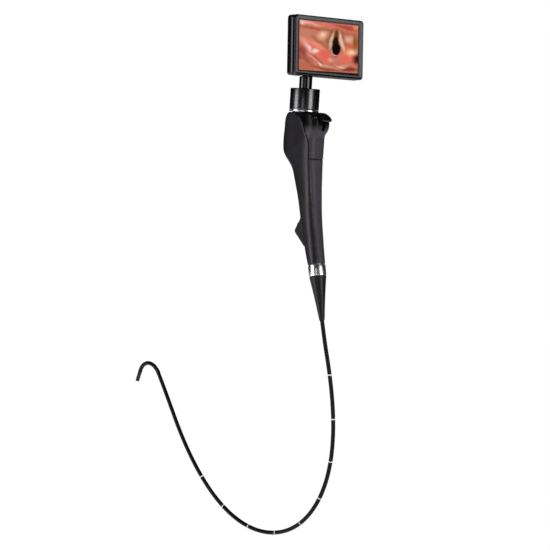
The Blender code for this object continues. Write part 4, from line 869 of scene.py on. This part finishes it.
# a rounded rectangle facing -Y, drawn through layers of (inset in X, inset in Z, Y) in mm
def plate(name, layers, corner):
    (x0, x1), (z0, z1) = monitor["x"], monitor["z"]
    deselectAll()
    dx, dz, y = layers[0]
    width, height = x1 - x0 - 2 * dx, z1 - z0 - 2 * dz
    middle = ((x0 + x1) / 2 * mm, y * mm, (z0 + z1) / 2 * mm)
    bpy.ops.mesh.primitive_plane_add(size=1, location=middle, rotation=(pi / 2, 0, 0))
    piece = bpy.context.object
    piece.name = name
    piece.scale = (width * mm, height * mm, 1)
    bpy.ops.object.transform_apply(location=True, rotation=True, scale=True)
    editAll(piece)
    bpy.ops.mesh.bevel(offset=corner * mm, segments=8, affect="VERTICES")
    bpy.ops.mesh.select_all(action="SELECT")
    for dx, dz, y2 in layers[1:]:
        bpy.ops.mesh.extrude_region_move(TRANSFORM_OT_translate={"value": (0, (y2 - y) * mm, 0)})
        newWidth, newHeight = x1 - x0 - 2 * dx, z1 - z0 - 2 * dz
        if newWidth != width or newHeight != height:
            bpy.ops.transform.resize(value=(newWidth / width, 1, newHeight / height))
        width, height, y = newWidth, newHeight, y2
    turnOutwards(piece)
    return piece


# a layer inset by the same on every side
def even(inset, y):
    return (inset, inset, y)


# rounding from the side wall on to a flat face
def arcLayers(edge, yFlat, direction):
    turns = [pi / 2 * n / 6 for n in range(7)]
    return [even(edge * (1 - cos(a)), yFlat + direction * edge * sin(a)) for a in turns]


def makeBezel():
    front, split, wall = monitor["y"][0], monitor["split"], monitor["wall"]
    edge, rim, corner = monitor["edge"], monitor["rim"], monitor["corner"]
    winX, winZ = monitor["border"]
    slopeEnd, highlightBandEnd = front + monitor["slope"], front + monitor["surroundHighlightBand"]
    sides = [even(0.3, split), even(0.06, split - 0.1), even(0, split - 0.35)]
    bezel = plate("monitorBezel", sides + arcLayers(edge, front + edge, -1), corner - 0.3)
    window = [even(rim, front - 1), even(rim, front + 0.1), even(rim + 0.12, front + 0.22),
              (rim + 1.5, rim + 1.4, highlightBandEnd), (winX - 0.35, winZ - 0.35, slopeEnd - 0.1),
              (winX, winZ, slopeEnd + 0.25), (winX, winZ, split + 1)]
    windowCut = plate("windowCut", window, 2.0)
    room = plate("bezelRoom", [even(wall, slopeEnd + 0.2), even(wall, split + 1)], corner - wall)
    pocket = monitor["pocket"]
    opening = boxPiece("bezelOpening", (-pocket, 6.35, 134), (pocket, 9, monitor["pocketTop"]))
    carve(bezel, room, windowCut, opening)
    softenEdges(bezel, 0.12, 2, 50)
    give(bezel, "monitor", "housingPlastic", "monitor_plastic", "monitor_bezel")
    bezel.data.materials.append(finishes["screenSurround"])
    bezel.data.materials.append(finishes["surroundHighlightBand"])
    (x0, x1), (z0, z1) = monitor["x"], monitor["z"]
    # surround faces take the dark surround finish, and those on the rim's inner step the lighter band, a
    # painted edge highlight
    for face in bezel.data.polygons:
        middle = face.center / mm
        inset = min(middle.x - x0, x1 - middle.x, middle.z - z0, z1 - middle.z)
        if inset > rim + 0.02 and middle.y < slopeEnd + 0.5 and face.normal.y < 0.5:
            face.material_index = 2 if middle.y < highlightBandEnd + 0.005 else 1
    smoothFaces(bezel, 25)
    evenNormals(bezel)


def ventSlits():
    (x, z), (width, height) = monitor["ventFrom"], monitor["ventSize"]
    for n in range(monitor["vents"]):
        left = x + n * monitor["ventStep"]
        slit = boxPiece("ventSlit", (left, 14, z), (left + width, 19, z + height))
        softenEdges(slit, 0.5, 3)
        yield slit


def makeRear():
    back, wall, corner = monitor["y"][1], monitor["wall"], monitor["corner"]
    joint, edge, panel = monitor["split"] + monitor["joint"], monitor["backEdge"], monitor["panel"]
    flareIn, flareDeep = monitor["flare"]
    flare = [even(flareIn + 0.25, joint), even(flareIn, joint + 0.15), even(0.22, joint + flareDeep - 0.5),
             even(0.06, joint + flareDeep), even(0, joint + flareDeep + 0.5)]
    rear = plate("monitorRear", flare + arcLayers(edge, back - edge, 1), corner - 0.6)
    inside = [even(wall + 0.3, monitor["split"] - 1), even(wall + 0.3, back - wall)]
    room = plate("rearRoom", inside, corner - wall)
    panelCut = plate("backPanel", [even(panel, back + 1), even(panel, back - monitor["panelDeep"])], 2.5)
    land = panel + monitor["panelLine"]
    carve(panelCut, plate("backLand", [even(land, back + 2), even(land, back - 1)], 2.3))
    carve(rear, room, panelCut)
    block, pocket, pocketTop = monitor["block"], monitor["pocket"], monitor["pocketTop"]
    blockLow = (-block, monitor["split"] + 0.5, monitor["z"][0] + 0.6)
    carve(rear, boxPiece("hingeBlock", blockLow, (block, back - 0.6, pocketTop + 3.6)), operation="UNION")
    pocketCut = boxPiece("rearPocket", (-pocket, monitor["pocketFrom"], 130), (pocket, 25, pocketTop))
    softenEdges(pocketCut, monitor["pocketEdge"], 4)
    buttonLow, buttonHigh = map(Vector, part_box("power_button"))
    button = (buttonLow + buttonHigh) / 2 / mm
    wellCut = rodPiece(monitor["buttonWell"], 6, 48, (pi / 2, 0, 0), (button.x, back, button.z))
    carve(rear, pocketCut, wellCut, *ventSlits())
    softenEdges(rear, 0.15, 2, 50)
    smoothFaces(rear, 25)
    evenNormals(rear)
    give(rear, "monitor", "housingPlastic", "monitor_plastic", "monitor_rear_housing")


makeBezel()
makeRear()
print("monitor ready")


# handle covers, cap, lever, port

for node, name, finish in (("handle_left_cover", "leftCover", "gripPlastic"),
                           ("handle_right_cover", "rightCover", "gripPlastic"),
                           ("back_lower_cover", "backLower", "backPlastic")):
    give(meltedCopy([node], name, 0.5, 50), "handle", finish, "grip_plastic", node)
# the cap is drawn out a little under the lever's beak
chin = {"place": (9.6, -16.0, 83.0), "grip": 2.5, "reach": 11.0, "push": (1.3, -1.1, 0.0)}
controlCap = meltedCopy(["control_cap", "back_upper_cover"], "controlCap", 0.34, 5)
selectFaces(controlCap, lambda face: (face.center / mm - Vector(chin["place"])).length < chin["grip"])
print("chin faces", sum(face.select for face in controlCap.data.polygons))
bpy.ops.transform.translate(value=Vector(chin["push"]) * mm, use_proportional_edit=True,
                            proportional_edit_falloff="SMOOTH", proportional_size=chin["reach"] * mm)
bpy.ops.object.mode_set(mode="OBJECT")
give(controlCap, "handle", "capPlastic", "gloss_plastic", "control_cap", "back_upper_cover")
lever = meltedCopy(["thumb_lever"], "thumbLever", 0.25, 14)
give(lever, "lever", "glossBlack", "gloss_plastic", "thumb_lever")
port = meltedCopy(["port_block"], "portBlock", 0.34, 6)
give(port, "handle", "gripPlastic", "grip_plastic", "port_block")
print("handle ready")


# finishes on the CAD nodes that stay in view or inside

kept = {
    "coverGlass": ("screen_glass", "camera_lens", "light_left", "light_right"),
    "screenPicture": ("lcd_panel",),
    "statusLens": ("status_led",),
    "solderMask": ("monitor_board", "button_switch", "control_board"),
    "darkWrap": ("battery", "board_connector", "camera_cable", "camera_module"),
    "turnedSteel": ("tilt_pin", "friction_washer", "retaining_nut", "lever_shaft", "port_inlet",
                    "cover_screw_1", "cover_screw_2", "cover_screw_3", "wire_guide_front", "wire_guide_back"),
    "softRubber": ("power_button", "port_cap"),
    "glossBlack": ("record_button",),
    "castAlloy": ("chassis_frame", "wire_drum"),
    "turnedBrass": ("shaft_bush_left", "shaft_bush_right"),
    "darkenedSteel": ("bending_base_ring", "bending_link_1", "bending_link_2", "bending_link_3",
                      "bending_link_4", "bending_link_5", "distal_sleeve", "tip_housing"),
}


def finishNode(node, finish):
    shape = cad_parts[node]
    shape.data.materials.clear()
    shape.data.materials.append(finishes[finish])
    shape.modifiers.new("weld", "WELD").merge_threshold = 0.002 * mm
    shape.modifiers.new("split", "EDGE_SPLIT").split_angle = radians(35)
    for face in shape.data.polygons:
        face.use_smooth = True


for finish, nodes in kept.items():
    for node in nodes:
        finishNode(node, finish)
print("CAD nodes finished:", sum(map(len, kept.values())))


# studio, in metres

studio = {"middle": (0.02, 0.03, 0.0), "reach": 1.6, "fill": 0.35,
          "top": 4.0, "topSize": 1.8, "topSide": 10, "topReach": 0.5, "topRise": 1.9,
          "floor": -0.47, "paper": 0.9, "glow": 0.70, "glowDip": 0.33, "glowFall": 1.1,
          "cardReach": 3.0, "cardTall": 9.0, "cardBelow": 0.2, "cardTone": 0.02}
# direction from the camera's and width in degrees, brightness, height, rise
panels = [(-68, 26, 5.5, 1.3, 0.0), (48, 24, 5.5, 1.3, 0.0), (-14, 9, 2.2, 0.46, 0.14)]


def areaLight(name, side, reach, rise, width, height, power):
    a = radians(view["azimuth"]) + radians(side)
    middle = Vector(studio["middle"])
    place = middle + Vector((reach * sin(a), -reach * cos(a), rise))
    lamp = bpy.data.lights.new(name, "AREA")
    lamp.shape = "RECTANGLE"
    lamp.size = width
    lamp.size_y = height
    lamp.energy = power
    made = bpy.data.objects.new(name, lamp)
    scene.collection.objects.link(made)
    made.location = place
    made.rotation_euler = (middle - place).to_track_quat("-Z", "Y").to_euler()
    return made


def makeLights():
    for k, (side, wide, bright, tall, rise) in enumerate(panels):
        width = 2 * studio["reach"] * tan(radians(wide / 2))
        areaLight(f"panel{k + 1}", side, studio["reach"], rise, width, tall, bright * pi * width * tall)
    overhead = areaLight("overhead", studio["topSide"], studio["topReach"], studio["topRise"],
                         studio["topSize"], studio["topSize"], studio["top"])
    overhead.visible_glossy = False


def emptyTree(owner):
    owner.use_nodes = True
    owner.node_tree.nodes.clear()
    return owner.node_tree


# 1 where the camera looks, also by gloss or through glass
def inView(tree):
    ray = addNode(tree, "LightPath").outputs
    seen = calc(tree, "ADD", ray["Is Camera Ray"], ray["Is Glossy Ray"])
    return calc(tree, "ADD", seen, ray["Is Transmission Ray"], clamp=True)


def makeWorld():
    scene.world = bpy.data.worlds.new("studio")
    tree = emptyTree(scene.world)
    plain = addNode(tree, "Background", {"Color": (1, 1, 1, 1), "Strength": studio["fill"]})
    white = addNode(tree, "Background", {"Color": (1, 1, 1, 1), "Strength": 1.0})
    both = addNode(tree, "MixShader", {0: inView(tree), 1: plain.outputs[0], 2: white.outputs[0]})
    addNode(tree, "OutputWorld", {0: both.outputs[0]})


# white paper that glows a little in view, less where the lamps reach
def makeFloor():
    deselectAll()
    bpy.ops.mesh.primitive_plane_add(size=30, location=(0, 0, studio["floor"]))
    floor = bpy.context.object
    floor.name = "floor"
    paper = bpy.data.materials.new("floorPaper")
    tree = emptyTree(paper)
    matt = addNode(tree, "BsdfDiffuse", {"Color": opaque([studio["paper"]] * 3)})
    spot = addNode(tree, "VectorMath", {0: addNode(tree, "TexCoord").outputs["Object"]}, operation="LENGTH")
    dip = calc(tree, "POWER", exp(-1 / studio["glowFall"]), spot.outputs["Value"])
    evened = calc(tree, "SUBTRACT", studio["glow"], calc(tree, "MULTIPLY", dip, studio["glowDip"]))
    strength = calc(tree, "MULTIPLY", inView(tree), evened)
    glow = addNode(tree, "Emission", {"Color": (1, 1, 1, 1), "Strength": strength})
    both = addNode(tree, "AddShader", {0: matt.outputs[0], 1: glow.outputs[0]})
    addNode(tree, "OutputMaterial", {0: both.outputs[0]})
    floor.data.materials.append(paper)


# a dark drum round it all, met only by gloss and glass, so that black gloss stays black
def makeCard():
    deselectAll()
    middle = (0, 0, studio["floor"] + studio["cardTall"] / 2 - studio["cardBelow"])
    bpy.ops.mesh.primitive_cylinder_add(vertices=64, radius=studio["cardReach"], depth=studio["cardTall"],
                                        end_fill_type="NGON", location=middle)
    card = bpy.context.object
    card.name = "darkCard"
    felt = bpy.data.materials.new("cardFelt")
    tree = emptyTree(felt)
    glow = addNode(tree, "Emission", {"Color": (1, 1, 1, 1), "Strength": studio["cardTone"]})
    addNode(tree, "OutputMaterial", {0: glow.outputs[0]})
    card.data.materials.append(felt)
    card.visible_camera = card.visible_diffuse = card.visible_shadow = False


makeLights()
makeWorld()
makeFloor()
makeCard()
scene.view_settings.view_transform = "Standard"
print("studio ready")
